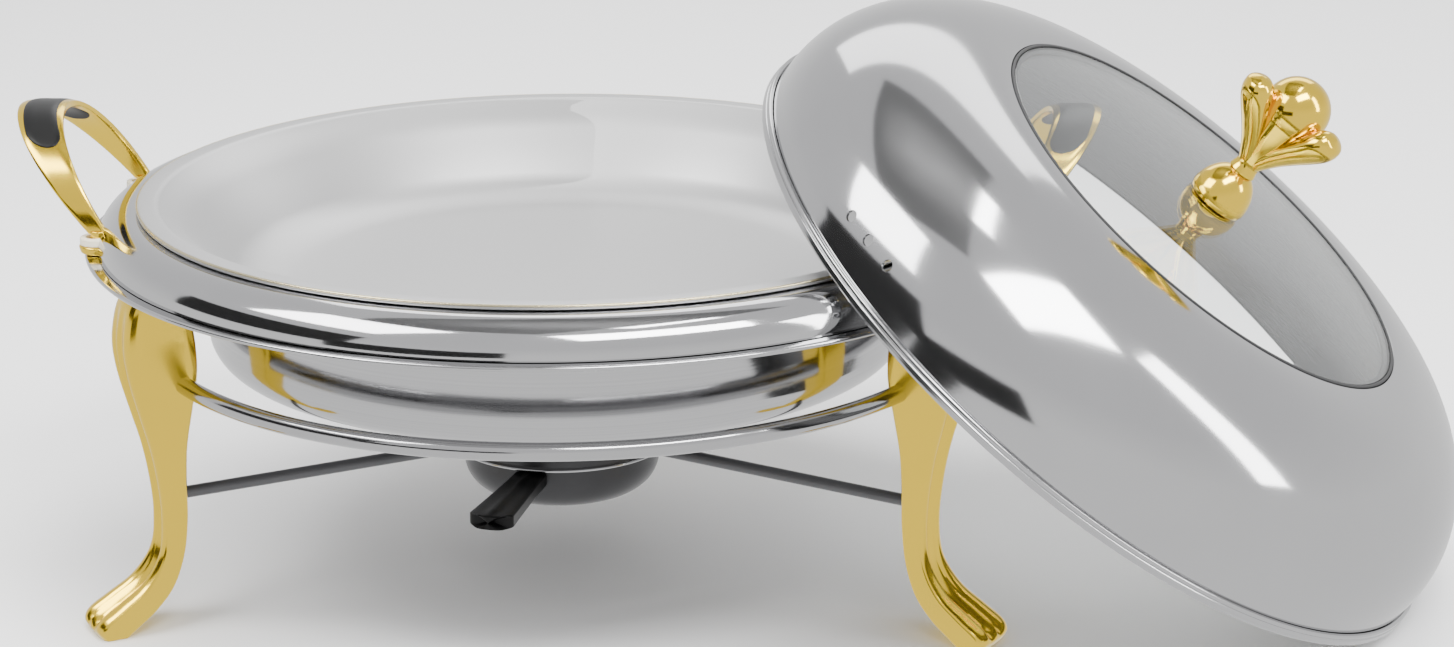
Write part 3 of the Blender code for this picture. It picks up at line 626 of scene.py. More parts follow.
def wadding_material(name):
    """Pale fibrous wick wadding."""
    made, tree, shader = new_material(name)
    shader.inputs["Roughness"].default_value = 1.0
    shader.inputs["Sheen Weight"].default_value = 0.4
    vector = coordinates(tree)
    fibre = noise_node(tree, vector, 420.0, detail=6.0, roughness=0.8, distortion=2.0)
    tint(tree, shader, fibre, (0.55, 0.52, 0.46), (0.86, 0.84, 0.78))
    bump(tree, shader, fibre, 0.7, 0.0008)
    return made


def lid_frame():
    """The lid's own frame: its rim's plane at 0 and its knob on +Z, leaning over the right handle."""
    joint = next(joint for joint in frame["joints"] if joint["name"] == "lid_lift")
    normal = Vector(joint["axis"]).normalized()
    low, high = box("lid_rim_band")
    centre = (low + high) / 2 - normal * BAND_HEIGHT / 2
    turn = Matrix.Rotation(math.atan2(normal.y, normal.x), 4, "Z")
    return Matrix.Translation(centre) @ turn @ Matrix.Rotation(math.acos(normal.z), 4, "Y")


def finish(name):
    """The named finish, made the first time it is asked for."""
    made = bpy.data.materials.get(name)
    if made:
        return made
    colour = bpy.context.scene.warmer.colour
    steel = tuple(colour.steel)
    gold = tuple(colour.gold)
    dark = tuple(colour.dark)
    black = tuple(colour.black)
    # A darker copy of the steel for the faces inside the lid: painted shade under the lid
    inside = shade(steel, 0.42)
    makers = {
        "mirror_steel": lambda: polished_metal(name, steel, 0.055, 0.05),
        "lid_steel": lambda: polished_metal(name, steel, 0.075, 0.05, lid_frame()),
        "lid_inside_painted_shade_steel": lambda: spun_metal(name, inside, 0.22, 0.10, 1500.0, 0.05, lid_frame()),
        "lid_band_steel": lambda: spun_metal(name, steel, 0.10, 0.08, 900.0, 0.05, lid_frame()),
        "ring_steel": lambda: polished_metal(name, shade(steel, 0.92), 0.09, 0.06),
        "pan_steel": lambda: spun_metal(name, steel, 0.07, 0.06, 1500.0, 0.03),
        # Brushed rings are real; the dark colour they spin on is painted shade for the pan's inside
        "satin_steel": lambda: spun_metal(name, tuple(colour.satin), 0.30, 0.16, 2600.0, 0.16),
        "pot_steel": lambda: spun_metal(name, shade(steel, 0.8), 0.24, 0.12, 2200.0, 0.10),
        "leg_gold": lambda: polished_metal(name, gold, 0.15, 0.08, strength=0.06),
        "handle_gold": lambda: polished_metal(name, gold, 0.13, 0.07, strength=0.05),
        "knob_gold": lambda: polished_metal(name, gold, 0.09, 0.06, lid_frame()),
        "collar_gold": lambda: spun_metal(name, gold, 0.16, 0.08, 2000.0, 0.06),
        "collar_cream": lambda: grained(name, (0.80, 0.74, 0.58), 0.25, 0.10, 1400.0, 0.04),
        "trim_gold": lambda: polished_metal(name, (0.62, 0.55, 0.36), 0.2, 0.08),
        "burner_steel": lambda: grained(name, dark, 0.34, 0.14, 1500.0, 0.12, metallic=0.85),
        "rod_steel": lambda: grained(name, shade(dark, 2.0), 0.36, 0.16, 1900.0, 0.18, metallic=0.85),
        "gauze_steel": lambda: grained(name, shade(dark, 1.6), 0.4, 0.2, 2600.0, 0.5, metallic=0.9),
        "grip_black": lambda: grained(name, black, 0.30, 0.12, 1400.0, 0.05, gloss=0.18),
        "lever_black": lambda: grained(name, black, 0.36, 0.16, 1600.0, 0.14, gloss=0.22),
        "seal_rubber": lambda: grained(name, (0.02, 0.02, 0.021), 0.55, 0.2, 1500.0, 0.1),
        "window_glass": lambda: clear_glass(name, lid_frame()),
        "wick_wadding": lambda: wadding_material(name),
    }
    return makers[name]()


# ---------------------------------------------------------------- stand

# One leg along +X, from its top to its sole: outer x and z, inner x and z, half width
LEG_STATIONS = [
    (0.1598, LEG_HIGH.z, 0.1512, LEG_HIGH.z, 0.0072),
    (0.1640, 0.1256, 0.1500, 0.1250, 0.0089),
    (0.1680, 0.1225, 0.1484, 0.1205, 0.0100),
    (0.1706, 0.1165, 0.1470, 0.1145, 0.0107),
    (0.1722, 0.1060, 0.1458, 0.1045, 0.0112),
    (0.1710, 0.0945, 0.1456, 0.0935, 0.0106),
    (0.1676, 0.0810, 0.1476, 0.0810, 0.0094),
    (0.1638, 0.0670, 0.1500, 0.0670, 0.0083),
    (0.1614, 0.0530, 0.1507, 0.0535, 0.0076),
    (0.1606, 0.0400, 0.1509, 0.0400, 0.0072),
    (0.1622, 0.0275, 0.1528, 0.0270, 0.0077),
    (0.1690, 0.0178, 0.1574, 0.0158, 0.0090),
    (0.1780, 0.0118, 0.1645, 0.0080, 0.0102),
    (0.1852, 0.0072, 0.1712, 0.0032, 0.0109),
    (0.1874, 0.0034, 0.1748, 0.0006, 0.0108),
    (0.1858, 0.0, 0.1756, 0.0, 0.0104),
]


def flute(across, along):
    """Depth share of the two grooves at a place across the leg's front, fading out at both ends."""
    wave = 0.5 - 0.5 * math.cos(math.tau * (across / 0.56))
    edge = max(0.0, min(1.0, (0.62 - abs(across)) / 0.10))
    start = max(0.0, min(1.0, (along - 0.16) / 0.24))
    end = max(0.0, min(1.0, (0.95 - along) / 0.06))
    return wave * edge * start * end


class WARMER_OT_legs(bpy.types.Operator):
    """Builds the three cast legs"""

    bl_idname = "warmer.legs"
    bl_label = "Legs"

    def execute(self, context):
        sizes = context.scene.warmer.stand
        gold = finish("leg_gold")
        for name, angle in LEG_ANGLES.items():
            turn_to = Matrix.Rotation(math.radians(angle), 3, "Z")

            def place(along, turn):
                outer_x, outer_z, inner_x, inner_z, half = through(LEG_STATIONS, along)
                across, depth = section(turn, sizes.corner)
                outer = Vector((outer_x, 0.0, outer_z))
                inner = Vector((inner_x, 0.0, inner_z))
                ridge = 1 - across * across * 0.06
                share = (depth + 1) / 2 * ridge if depth > 0 else (depth + 1) / 2
                at = inner.lerp(outer, share)
                if depth > 0.98:
                    inward = (inner - outer).normalized()
                    at += inward * sizes.flute_depth * flute(across, along)
                at.y = across * half
                return turn_to @ at

            work = swept(96, 96, place)
            piece("cast_leg_" + name, work, gold, "stand", ["leg_" + name])
        return {"FINISHED"}


class WARMER_OT_ring_and_braces(bpy.types.Operator):
    """Builds the polished support ring and the three rods that carry the burner"""

    bl_idname = "warmer.ring_and_braces"
    bl_label = "Ring and braces"

    def execute(self, context):
        sizes = context.scene.warmer.stand
        rod = sizes.ring_rod
        height = (RING_LOW.z + RING_HIGH.z) / 2
        loop = arc(RING_HIGH.x - rod, height, rod, rod, 0, 345, 23)
        work = turned(loop, ROUND_STEPS, closed=True)
        piece("polished_ring", work, finish("ring_steel"), "stand", ["support_ring"])
        level = (BRACE_LOW.z + BRACE_HIGH.z) / 2
        length = BRACE_HIGH.y - BRACE_LOW.y
        for name, angle in LEG_ANGLES.items():
            work = upright_rod(sizes.brace_rod, 0.0, length, 0.0004, steps=32)
            lie = Matrix.Rotation(math.radians(90), 4, "Y")
            start = Matrix.Translation((BRACE_LOW.y, 0.0, level))
            turn_to = Matrix.Rotation(math.radians(angle), 4, "Z")
            work.transform(turn_to @ start @ lie)
            piece("steel_brace_" + name, work, finish("rod_steel"), "stand", ["brace_" + name])
        return {"FINISHED"}


# ---------------------------------------------------------------- burner

CUP_CORNER = 0.013
POT_CORNER = 0.0115
BEAD = 0.0005  # radius of the polished bead round the holder's lower edge, a painted highlight standing in for the light caught there
GAUZE_OPENING = 0.0090


def bowl(radius, bottom, top, corner, wall, lip=None):
    """Profile of a turned cup: floor, rounded corner, wall, and a rolled lip out to a radius."""
    outside = [(0.0, bottom)] + arc(radius - corner, bottom + corner, corner, corner, 270, 360, 14)
    if lip:
        outside += [(radius, lip[1] - 0.0003), (lip[0], lip[1], 0.0004), (lip[0], top, 0.0005)]
    else:
        outside += [(radius, top, wall * 0.45)]
    inner = corner - wall
    inside = [(radius - wall, top, wall * 0.45)]
    inside += arc(radius - corner, bottom + corner, inner, inner, 360, 270, 12)
    return rounded(outside + inside + [(0.0, bottom + wall)])


class WARMER_OT_burner(bpy.types.Operator):
    """Builds the holder ring, the cup that turns in it, the fuel pot, its wadding and its gauze"""

    bl_idname = "warmer.burner"
    bl_label = "Burner"

    def execute(self, context):
        sizes = context.scene.warmer.burner
        inner = CUP_HIGH.x
        outer = HOLDER_HIGH.x
        cup_radius = POT_HIGH.x + GAP + sizes.cup_wall
        band_in = cup_radius + GAP
        low, high = HOLDER_LOW.z, HOLDER_HIGH.z
        band = [(band_in, low, 0.0006), (outer + 0.0003, low, 0.0009), (outer + 0.0003, low + 0.0012, 0.0004)]
        band += [(outer, low + 0.0016, 0.0004), (outer, high, 0.0006), (band_in, high, 0.0005)]
        work = turned(rounded(band, closed=True), SMALL_STEPS, closed=True)
        piece("holder_band", work, finish("burner_steel"), "stand", ["burner_holder"])

        # A thin polished bead on the dark holder's lower edge: painted highlight
        painted_highlight_line = arc(outer + BEAD * 0.8, low + BEAD, BEAD, BEAD, 0, 330, 11)
        work = turned(painted_highlight_line, SMALL_STEPS, closed=True)
        piece("holder_painted_highlight_bead", work, finish("ring_steel"), "stand")

        lip = (inner, high + GAP)
        cup = bowl(cup_radius, CUP_LOW.z, CUP_HIGH.z, CUP_CORNER, sizes.cup_wall, lip)
        piece("burner_bowl", turned(cup), finish("burner_steel"), "burner", ["burner_cup"])

        pot = bowl(POT_HIGH.x, POT_LOW.z, POT_HIGH.z, POT_CORNER, SHEET)
        piece("fuel_tin", turned(pot), finish("pot_steel"), "fuel", ["fuel_pot"])
        self.wadding_and_gauze()
        return {"FINISHED"}

    def wadding_and_gauze(self):
        """The wick wadding, and over it a ring of punched gauze."""
        low, high = box("fuel_wadding")
        radius = high.x
        corner = POT_CORNER - 0.0015
        outline = [(0.0, low.z)] + arc(radius - corner, low.z + corner, corner, corner, 270, 360, 10)
        outline += [(radius, high.z - 0.0018, 0.001), (radius - 0.0014, high.z - 0.0004, 0.001)]
        outline += [(radius * 0.5, high.z, 0.004), (0.0, high.z)]
        work = turned(rounded(outline))
        piece("wick_pad", work, finish("wick_wadding"), "fuel", ["fuel_wadding"])
        low, high = box("flame_ring")
        outer, opening, thick = high.x, GAUZE_OPENING, (high.z - low.z) / 2
        level = (high.z + low.z) / 2
        band = arc(opening + thick, level, thick, thick, 90, 270, 6)
        band += arc(outer - thick, level, thick, thick, 270, 450, 6)
        work = turned(band, closed=True)
        piece("gauze_ring", work, finish("gauze_steel"), "fuel", ["flame_ring"])


LEVER_HEADING = 257  # degrees from +X, just left of the front
LEVER_LENGTH = 0.0495
LEVER_CLOSING = 0.08  # share of the length over which the end's face closes
LEVER_TIP = 0.10  # share of the length over which the end rounds off


class WARMER_OT_lever(bpy.types.Operator):
    """Builds the black lever that turns the cup, and the rivet that holds it"""

    bl_idname = "warmer.lever"
    bl_label = "Burner lever"

    def execute(self, context):
        sizes = context.scene.warmer.burner
        turn_to = Matrix.Rotation(math.radians(LEVER_HEADING), 4, "Z")
        root = POT_HIGH.x + GAP + sizes.cup_wall + GAP * 2
        middle = (LEVER_LOW.z + LEVER_HIGH.z) / 2
        half_thick = (LEVER_HIGH.z - LEVER_LOW.z) / 2

        def place(along, turn):
            reach = along * (1 + LEVER_CLOSING)
            at_x = root + LEVER_LENGTH * min(1.0, reach)
            share = min(1.0, reach)
            flare = sizes.lever_root + (sizes.lever_end - sizes.lever_root) * share**1.4
            tip = max(0.0, (share - 1 + LEVER_TIP) / LEVER_TIP)
            half = flare / 2 * math.sqrt(max(0.0, 1 - 0.45 * tip * tip))
            closing = max(0.0, reach - 1.0) / LEVER_CLOSING
            across, up = section(turn, 0.30)
            shrink = 1 - closing
            rib = sizes.lever_ridge * math.exp(-((across / 0.22) ** 2)) if up > 0.98 else 0.0
            rib *= 1 - max(0.0, (share - 0.88) / 0.12)
            at_x -= abs(across) ** 3 * tip * 0.0032
            return Vector((at_x, across * half * shrink, middle + up * half_thick * shrink + rib * shrink))

        work = swept(60, 64, place)
        work.transform(turn_to)
        piece("turning_lever", work, finish("lever_black"), "burner", ["burner_lever"])
        rivet = upright_rod(0.0012, 0.0, 0.0042, 0.0003, steps=24)
        lie = Matrix.Rotation(math.radians(90), 4, "Y")
        rivet.transform(turn_to @ Matrix.Translation((root - 0.0016, 0.0, middle)) @ lie)
        piece("lever_pin", rivet, finish("rod_steel"), "burner", ["lever_rivet"])
        return {"FINISHED"}


# ---------------------------------------------------------------- pans

PAN_WALL = 0.1305
PAN_CORNER = 0.012
PAN_BEND = 0.0035  # from the wall out into the flange
SHOULDER_CREST = 0.1570
SHOULDER_LIP = 0.1485


class WARMER_OT_water_pan(bpy.types.Operator):
    """Builds the deep water pan with its broad flange and folded edge"""

    bl_idname = "warmer.water_pan"
    bl_label = "Water pan"

    def execute(self, context):
        wall, bottom, top = PAN_WALL, PAN_LOW.z, PAN_HIGH.z
        corner, bend = PAN_CORNER, PAN_BEND
        edge = PAN_HIGH.x
        under = top - SHEET
        outside = [(0.0, bottom)] + arc(wall - corner, bottom + corner, corner, corner, 270, 360, 16)
        outside += arc(wall + bend, under - bend, bend, bend, 180, 90, 8)
        outside += [(edge - 0.0026, under, 0.0004), (edge - 0.0024, top - 0.0019, 0.0004)]
        outside += arc(edge - 0.0009, top - 0.0009, 0.0009, 0.0009, 270, 450, 10)
        turn = bend + SHEET
        inside = arc(wall + bend, top - turn, turn, turn, 90, 180, 8)
        inner = corner - SHEET
        inside += arc(wall - corner, bottom + corner, inner, inner, 360, 270, 16) + [(0.0, bottom + SHEET)]
        work = turned(rounded(outside + inside), ROUND_STEPS)
        piece("water_bath_pan", work, finish("pan_steel"), "pan", ["water_pan"])
        return {"FINISHED"}


class WARMER_OT_shoulder(bpy.types.Operator):
    """Builds the convex polished ring on the flange, under the food pan's rim"""

    bl_idname = "warmer.shoulder"
    bl_label = "Shoulder ring"

    def execute(self, context):
        foot, crest_z = SHOULDER_LOW.z, SHOULDER_HIGH.z
        crest, lip = SHOULDER_CREST, SHOULDER_LIP
        across = SHOULDER_HIGH.x - crest
        rise = crest_z - foot
        outline = arc(crest, foot, across, rise, 0, 90, 28)
        outline += [(lip, crest_z, 0.0004), (lip, crest_z - SHEET, 0.0004)]
        outline += arc(crest, foot, across - SHEET, rise - SHEET, 90, 0, 24)
        work = turned(rounded(outline), ROUND_STEPS, closed=True)
        piece("shoulder_ring", work, finish("mirror_steel"), "pan", ["pan_shoulder"])
        return {"FINISHED"}


class WARMER_OT_food_pan(bpy.types.Operator):
    """Builds the shallow satin food pan and the pale gold line round its rim"""

    bl_idname = "warmer.food_pan"
    bl_label = "Food pan"

    def execute(self, context):
        sizes = context.scene.warmer.pan
        top, rim = FOOD_HIGH.z, FOOD_HIGH.x
        under = SHOULDER_HIGH.z + GAP
        floor = FOOD_LOW.z + SHEET
        flat = sizes.basin_floor
        band_in = rim - sizes.rim_band
        wall = [(flat, floor, 0.008), (flat + 0.0118, floor + 0.0034, 0.010), (0.1258, floor + 0.0136, 0.012)]
        wall += [(0.1380, floor + 0.0262, 0.010), (0.1452, top - 0.0018, 0.003)]
        wall += [(band_in, top - 0.0001, 0.002)]
        outer_wall = [(x + 0.0009, z - 0.0009, r) for x, z, r in wall[:-1]]
        roll = (top - under) / 2
        outside = [(0.0, floor - SHEET)] + outer_wall + [(band_in + 0.0008, under, 0.001)]
        outside += arc(rim - roll, under + roll, roll, roll, 270, 450, 12)
        outline = rounded(outside + wall[::-1] + [(0.0, floor)], count=8)
        work = turned(outline, ROUND_STEPS)
        piece("serving_pan", work, finish("satin_steel"), "food", ["food_pan"])
        line = arc(rim - sizes.trim, top - 0.0005, sizes.trim * 1.3, sizes.trim, 0, 330, 11)
        work = turned(line, ROUND_STEPS, closed=True)
        piece("serving_pan_trim", work, finish("trim_gold"), "food")
        return {"FINISHED"}


# ---------------------------------------------------------------- handles

FOOT_X, FOOT_Z = (SCREW_LOW.x + SCREW_HIGH.x) / 2, 0.1345
TOP_X, TOP_Z = FOOT_X + 0.0269, 0.1718
HALF_SPAN = (SCREW_LOW.y + SCREW_HIGH.y) / 2
HANDLE_STUB = 0.0030  # radius of the pin that stands in a collar


def strap_frame(side, angle):
    """Middle, along, across and normal of a handle's arch at an angle from its top."""
    height = math.cos(angle)
    middle = Vector((side * (FOOT_X + (TOP_X - FOOT_X) * height), HALF_SPAN * math.sin(angle), 0.0))
    middle.z = FOOT_Z + (TOP_Z - FOOT_Z) * height
    fall = math.sin(angle)
    along = Vector((-side * (TOP_X - FOOT_X) * fall, HALF_SPAN * height, -(TOP_Z - FOOT_Z) * fall))
    across = Vector((side, 0.0, 0.0))
    normal = across.cross(along).normalized()
    return middle, across, normal


def strap(rows, reach, half_width, half_thick, corner, side):
    """A bent bar over the arch, from one foot to the other."""

    def place(along, turn):
        share = along * 2 - 1
        angle = reach * share
        middle, across, normal = strap_frame(side, angle)
        wide, thick = section(turn, corner)
        half = half_width(max(math.cos(angle), 0.0), share)
        return middle + across * wide * half + normal * thick * half_thick(share)

    return swept(rows, 48, place)


class WARMER_OT_handles(bpy.types.Operator):
    """Builds the two plated handles with their black grips"""

    bl_idname = "warmer.handles"
    bl_label = "Handles"

    def execute(self, context):
        sizes = context.scene.warmer.handle

        def strap_width(height, share):
            return (sizes.foot_width + (sizes.top_width - sizes.foot_width) * height) / 2

        def strap_thickness(share):
            return sizes.thickness / 2

        def grip_width(height, share):
            past = max(abs(share) - 0.76, 0.0) / 0.24
            return sizes.inlay_width / 2 * math.sqrt(max(1 - past * past, 0.0004))

        def grip_thickness(share):
            past = max(abs(share) - 0.96, 0.0) / 0.04
            return sizes.thickness / 2 + 0.0004 * (1 - past * past)

        for name, side in (("left", -1), ("right", 1)):
            work = strap(120, math.radians(90), strap_width, strap_thickness, 0.42, side)
            for end in (-1, 1):
                foot = Vector((side * FOOT_X, end * HALF_SPAN, 0.0))
                top = FOOT_Z + 0.001
                stub = upright_rod(HANDLE_STUB, FERRULE_LOW.z + GAP, top, 0.0004, steps=32)
                stub.transform(Matrix.Translation(foot))
                merge(work, stub)
            piece("plated_handle_" + name, work, finish("handle_gold"), "pan", ["handle_" + name])
            work = strap(110, sizes.inlay_reach, grip_width, grip_thickness, 0.5, side)
            replaced = ["handle_" + name + "_inlay"]
            piece("grip_" + name, work, finish("grip_black"), "pan", replaced)
        return {"FINISHED"}


COLLAR = 0.0066
COLLAR_BORE = 0.0033
COLLAR_LEAN = 0.26  # sideways for each metre up
FOOT_SCREW = 0.0014
FOOT_SCREW_HEAD = 0.0023
FOOT_SCREW_HEAD_HEIGHT = 0.0022


class WARMER_OT_handle_feet(bpy.types.Operator):
    """Builds the collars round the handles' feet and the screws under the flange"""

    bl_idname = "warmer.handle_feet"
    bl_label = "Handle feet"

    def execute(self, context):
        low, high = FERRULE_LOW.z, FERRULE_HIGH.z
        for name, (side_x, side_y) in FOOT_SIDES.items():
            foot = Matrix.Translation((side_x * FOOT_X, side_y * HALF_SPAN, 0.0))
            bore, waist = COLLAR_BORE, (low + high) / 2
            band = [(bore, low, 0.0003), (COLLAR, low, 0.0006), (COLLAR, waist - 0.0004, 0.0006)]
            band += [(COLLAR - 0.0006, waist, 0.0002), (bore, waist, 0.0002)]
            cap = [(bore, waist, 0.0002), (COLLAR - 0.0005, waist, 0.0006)]
            cap += [(COLLAR - 0.0013, high, 0.0007), (bore, high, 0.0003)]
            lean = Matrix.Shear("XY", 3, (side_x * COLLAR_LEAN, 0.0)).to_4x4()
            lean = Matrix.Translation((0.0, 0.0, low)) @ lean @ Matrix.Translation((0.0, 0.0, -low))
            for ring, outline in (("collar_", band), ("collar_cap_", cap)):
                work = turned(rounded(outline, closed=True), 64, closed=True)
                work.transform(foot @ lean)
                gold = ring == "collar_"
                replaced = ["handle_ferrule_" + name] if gold else ()
                look, kind = ("collar_gold", "gold") if gold else ("collar_cream", None)
                piece(ring + name, work, finish(look), "pan", replaced)
            bottom, top = SCREW_LOW.z, SCREW_HIGH.z
            head, head_top = FOOT_SCREW_HEAD, bottom + FOOT_SCREW_HEAD_HEIGHT
            outline = [(0.0, bottom + 0.0004), (0.0012, bottom, 0.0008), (head, bottom + 0.0006, 0.0008)]
            outline += [(head, head_top, 0.0002), (FOOT_SCREW, head_top, 0.0001)]
            outline += [(FOOT_SCREW, top, 0.0003), (0.0, top)]
            work = turned(rounded(outline), 32)
            work.transform(foot)
            replaced = ["handle_screw_" + name]
            piece("foot_screw_" + name, work, finish("ring_steel"), "pan", replaced)
        return {"FINISHED"}


# ---------------------------------------------------------------- lid

BAND_HEIGHT = 0.0045
BAND_WALL = 0.0017
LID_SIDE = 0.010
LEDGE = 0.0045
GLASS_THICKNESS = 0.0026
GLASS_RISE = 0.0055
SEAL_WALL = 0.0011
SEAL_FLOOR = 0.0008
HEM_LIP = 0.0016  # how far the band folds in under the shell
HEM_FLOOR = 0.0005
KNOB_BORE = 0.0025
VENT_HEIGHT = 0.018
VENT_DEPTH = 0.016
VENT_ANGLES = (232.0, 236.6, 241.3)


def lid_piece(name, points, look, replaced=(), steps=ROUND_STEPS, closed=True, count=5):
    """A turned piece in the lid's own frame."""
    work = turned(rounded(points, closed=closed, count=count), steps, closed=closed)
    work.transform(lid_frame())
    return piece(name, work, finish(look), "lid", replaced)


def punch(obj, cutters):
    """Cuts each bmesh out of a finished piece."""
    work = bmesh.new()
    for cutter in cutters:
        cutter.transform(TO_FRAME)
        merge(work, cutter)
    mesh = bpy.data.meshes.new("punch")
    work.to_mesh(mesh)
    work.free()
    tool = bpy.data.objects.new("punch", mesh)
    bpy.context.scene.collection.objects.link(tool)
    modifier = obj.modifiers.new("Punch", "BOOLEAN")
    modifier.operation = "DIFFERENCE"
    modifier.solver = "EXACT"
    modifier.object = tool
    bpy.context.view_layer.update()
    graph = bpy.context.evaluated_depsgraph_get()
    cut = bpy.data.meshes.new_from_object(obj.evaluated_get(graph))
    obj.modifiers.clear()
    old = obj.data
    obj.data = cut
    bpy.data.meshes.remove(old)
    bpy.data.objects.remove(tool)
    bpy.data.meshes.remove(mesh)
    cut.name = obj.name
    cut.set_sharp_from_angle(angle=math.radians(SHARP))


class WARMER_OT_lid(bpy.types.Operator):
    """Builds the polished lid with its steam holes, and the band round its rim"""

    bl_idname = "warmer.lid"
    bl_label = "Lid"

    def execute(self, context):
        sizes = context.scene.warmer.lid
        lean = lid_frame()
        shell = sizes.radius - BAND_WALL - GAP
        seat = sizes.window + GAP + SEAL_WALL + GAP
        ledge_top = sizes.crown - GLASS_THICKNESS - GAP - SEAL_FLOOR - GAP
        bottom = HEM_FLOOR + GAP
        centre = seat + SHEET
        across, rise = shell - centre, sizes.crown - LID_SIDE
        outline = [(shell, bottom)] + arc(centre, LID_SIDE, across, rise, 0, 90, 64)
        outline += [(seat, sizes.crown, 0.0004), (seat, ledge_top), (seat - LEDGE, ledge_top, 0.0003)]
        outline += [(seat - LEDGE, ledge_top - SHEET, 0.0003), (centre, ledge_top - SHEET)]
        outline += arc(centre, LID_SIDE, across - SHEET, rise - SHEET, 86, 0, 48) + [(shell - SHEET, bottom)]
        dome = lid_piece("lid_dome", outline, "lid_steel", ["lid_shell"], ROUND_STEPS * 2)
        cutters = []
        for angle in VENT_ANGLES:
            cutter = bmesh.new()
            place = Matrix.Translation(heading(angle) * shell + Vector((0.0, 0.0, VENT_HEIGHT)))
            lie = Matrix.Rotation(math.radians(angle), 4, "Z") @ Matrix.Rotation(math.radians(90), 4, "Y")
            bmesh.ops.create_cone(
                cutter,
                cap_ends=True,
                segments=48,
                radius1=sizes.vent,
                radius2=sizes.vent,
                depth=VENT_DEPTH,
                matrix=lean @ place @ lie,
            )
            cutters.append(cutter)
        punch(dome, cutters)
        # Faces that look into the lid get the darker steel: painted shade inside the lid
        dome.data.materials.append(finish("lid_inside_painted_shade_steel"))
        middle = TO_FRAME @ lean.translation
        for face in dome.data.polygons:
            if face.normal.dot(face.center - middle) < 0:
                face.material_index = 1

        radius, height = sizes.radius, BAND_HEIGHT
        band = [(shell - HEM_LIP, 0.0, 0.0002), (radius, 0.0, 0.0008), (radius, height * 0.55, 0.0003)]
        band += [(radius - 0.0005, height * 0.62, 0.0003), (radius - 0.0002, height * 0.72, 0.0003)]
        band += [(radius - 0.0003, height, 0.0006), (shell + GAP, height, 0.0002), (shell + GAP, HEM_FLOOR)]
        band += [(shell - HEM_LIP, HEM_FLOOR, 0.0002)]
        lid_piece("lid_hem", band, "lid_band_steel", ["lid_rim_band"])
        return {"FINISHED"}


def bulge(radius):
    """How far the glass rises above its edge at a radius."""
    window = bpy.context.scene.warmer.lid.window
    return GLASS_RISE * (1 - (radius / window) ** 2)


class WARMER_OT_glass(bpy.types.Operator):
    """Builds the round window and the dark seal that holds it"""

    bl_idname = "warmer.glass"
    bl_label = "Glass and seal"

    def execute(self, context):
        sizes = context.scene.warmer.lid
        top, bottom = sizes.crown, sizes.crown - GLASS_THICKNESS
        hole = KNOB_BORE
        reach = [hole + (sizes.window - 0.001 - hole) * step / 24 for step in range(25)]
        pane = [(radius, bottom + bulge(radius)) for radius in reach] + [(sizes.window, bottom, 0.0005)]
        pane += [(sizes.window, top, 0.0008)] + [(radius, top + bulge(radius)) for radius in reversed(reach)]
        lid_piece("window_pane", pane, "window_glass", ["lid_glass"])
        wall = sizes.window + GAP
        outer = wall + SEAL_WALL
        low, floor = bottom - GAP - SEAL_FLOOR, bottom - GAP
        inner = wall + SEAL_WALL + GAP - LEDGE + 0.0005
        seal = [(inner, low, 0.0002), (outer, low), (outer, top + 0.0004, 0.0005)]
        seal += [(wall - 0.0002, top + 0.0004, 0.0005), (wall, top - 0.0006), (wall, floor)]
        seal += [(inner, floor, 0.0002)]
        lid_piece("window_seal", seal, "seal_rubber", ["glass_seal"])
        return {"FINISHED"}


KNOB_BASE_HEIGHT = 0.0198
KNOB_HEIGHT = 0.0622
KNOB_FOOT = 0.0112
KNOB_NECK = 0.0044
KNOB_BALL = 0.0122
FIRST_PETAL = 90  # degrees from the lid's own +X
PETAL_STEP = 0.02  # share of a petal over which its slope is read
KNOB_JOINT = math.radians(28)  # below the ball's middle, where the neck meets it
WASHER = 0.0090
WASHER_THICKNESS = 0.0012
LID_SCREW = 0.0021
LID_SCREW_HEAD = 0.0048
LID_SCREW_HEAD_HEIGHT = 0.0026

# One petal, from the neck to its tip: distance from the axis, share of the height to the ball,
# half width, half thickness
PETAL_STATIONS = [
    (0.0016, 0.08, 0.0022, 0.0018),
    (0.0034, 0.24, 0.0036, 0.0028),
    (0.0066, 0.44, 0.0050, 0.0037),
    (0.0108, 0.64, 0.0062, 0.0045),
    (0.0144, 0.80, 0.0069, 0.0052),
    (0.0170, 0.93, 0.0071, 0.0057),
    (0.0186, 1.03, 0.0064, 0.0052),
    (0.0195, 1.10, 0.0044, 0.0036),
    (0.0200, 1.135, 0.0, 0.0),
]


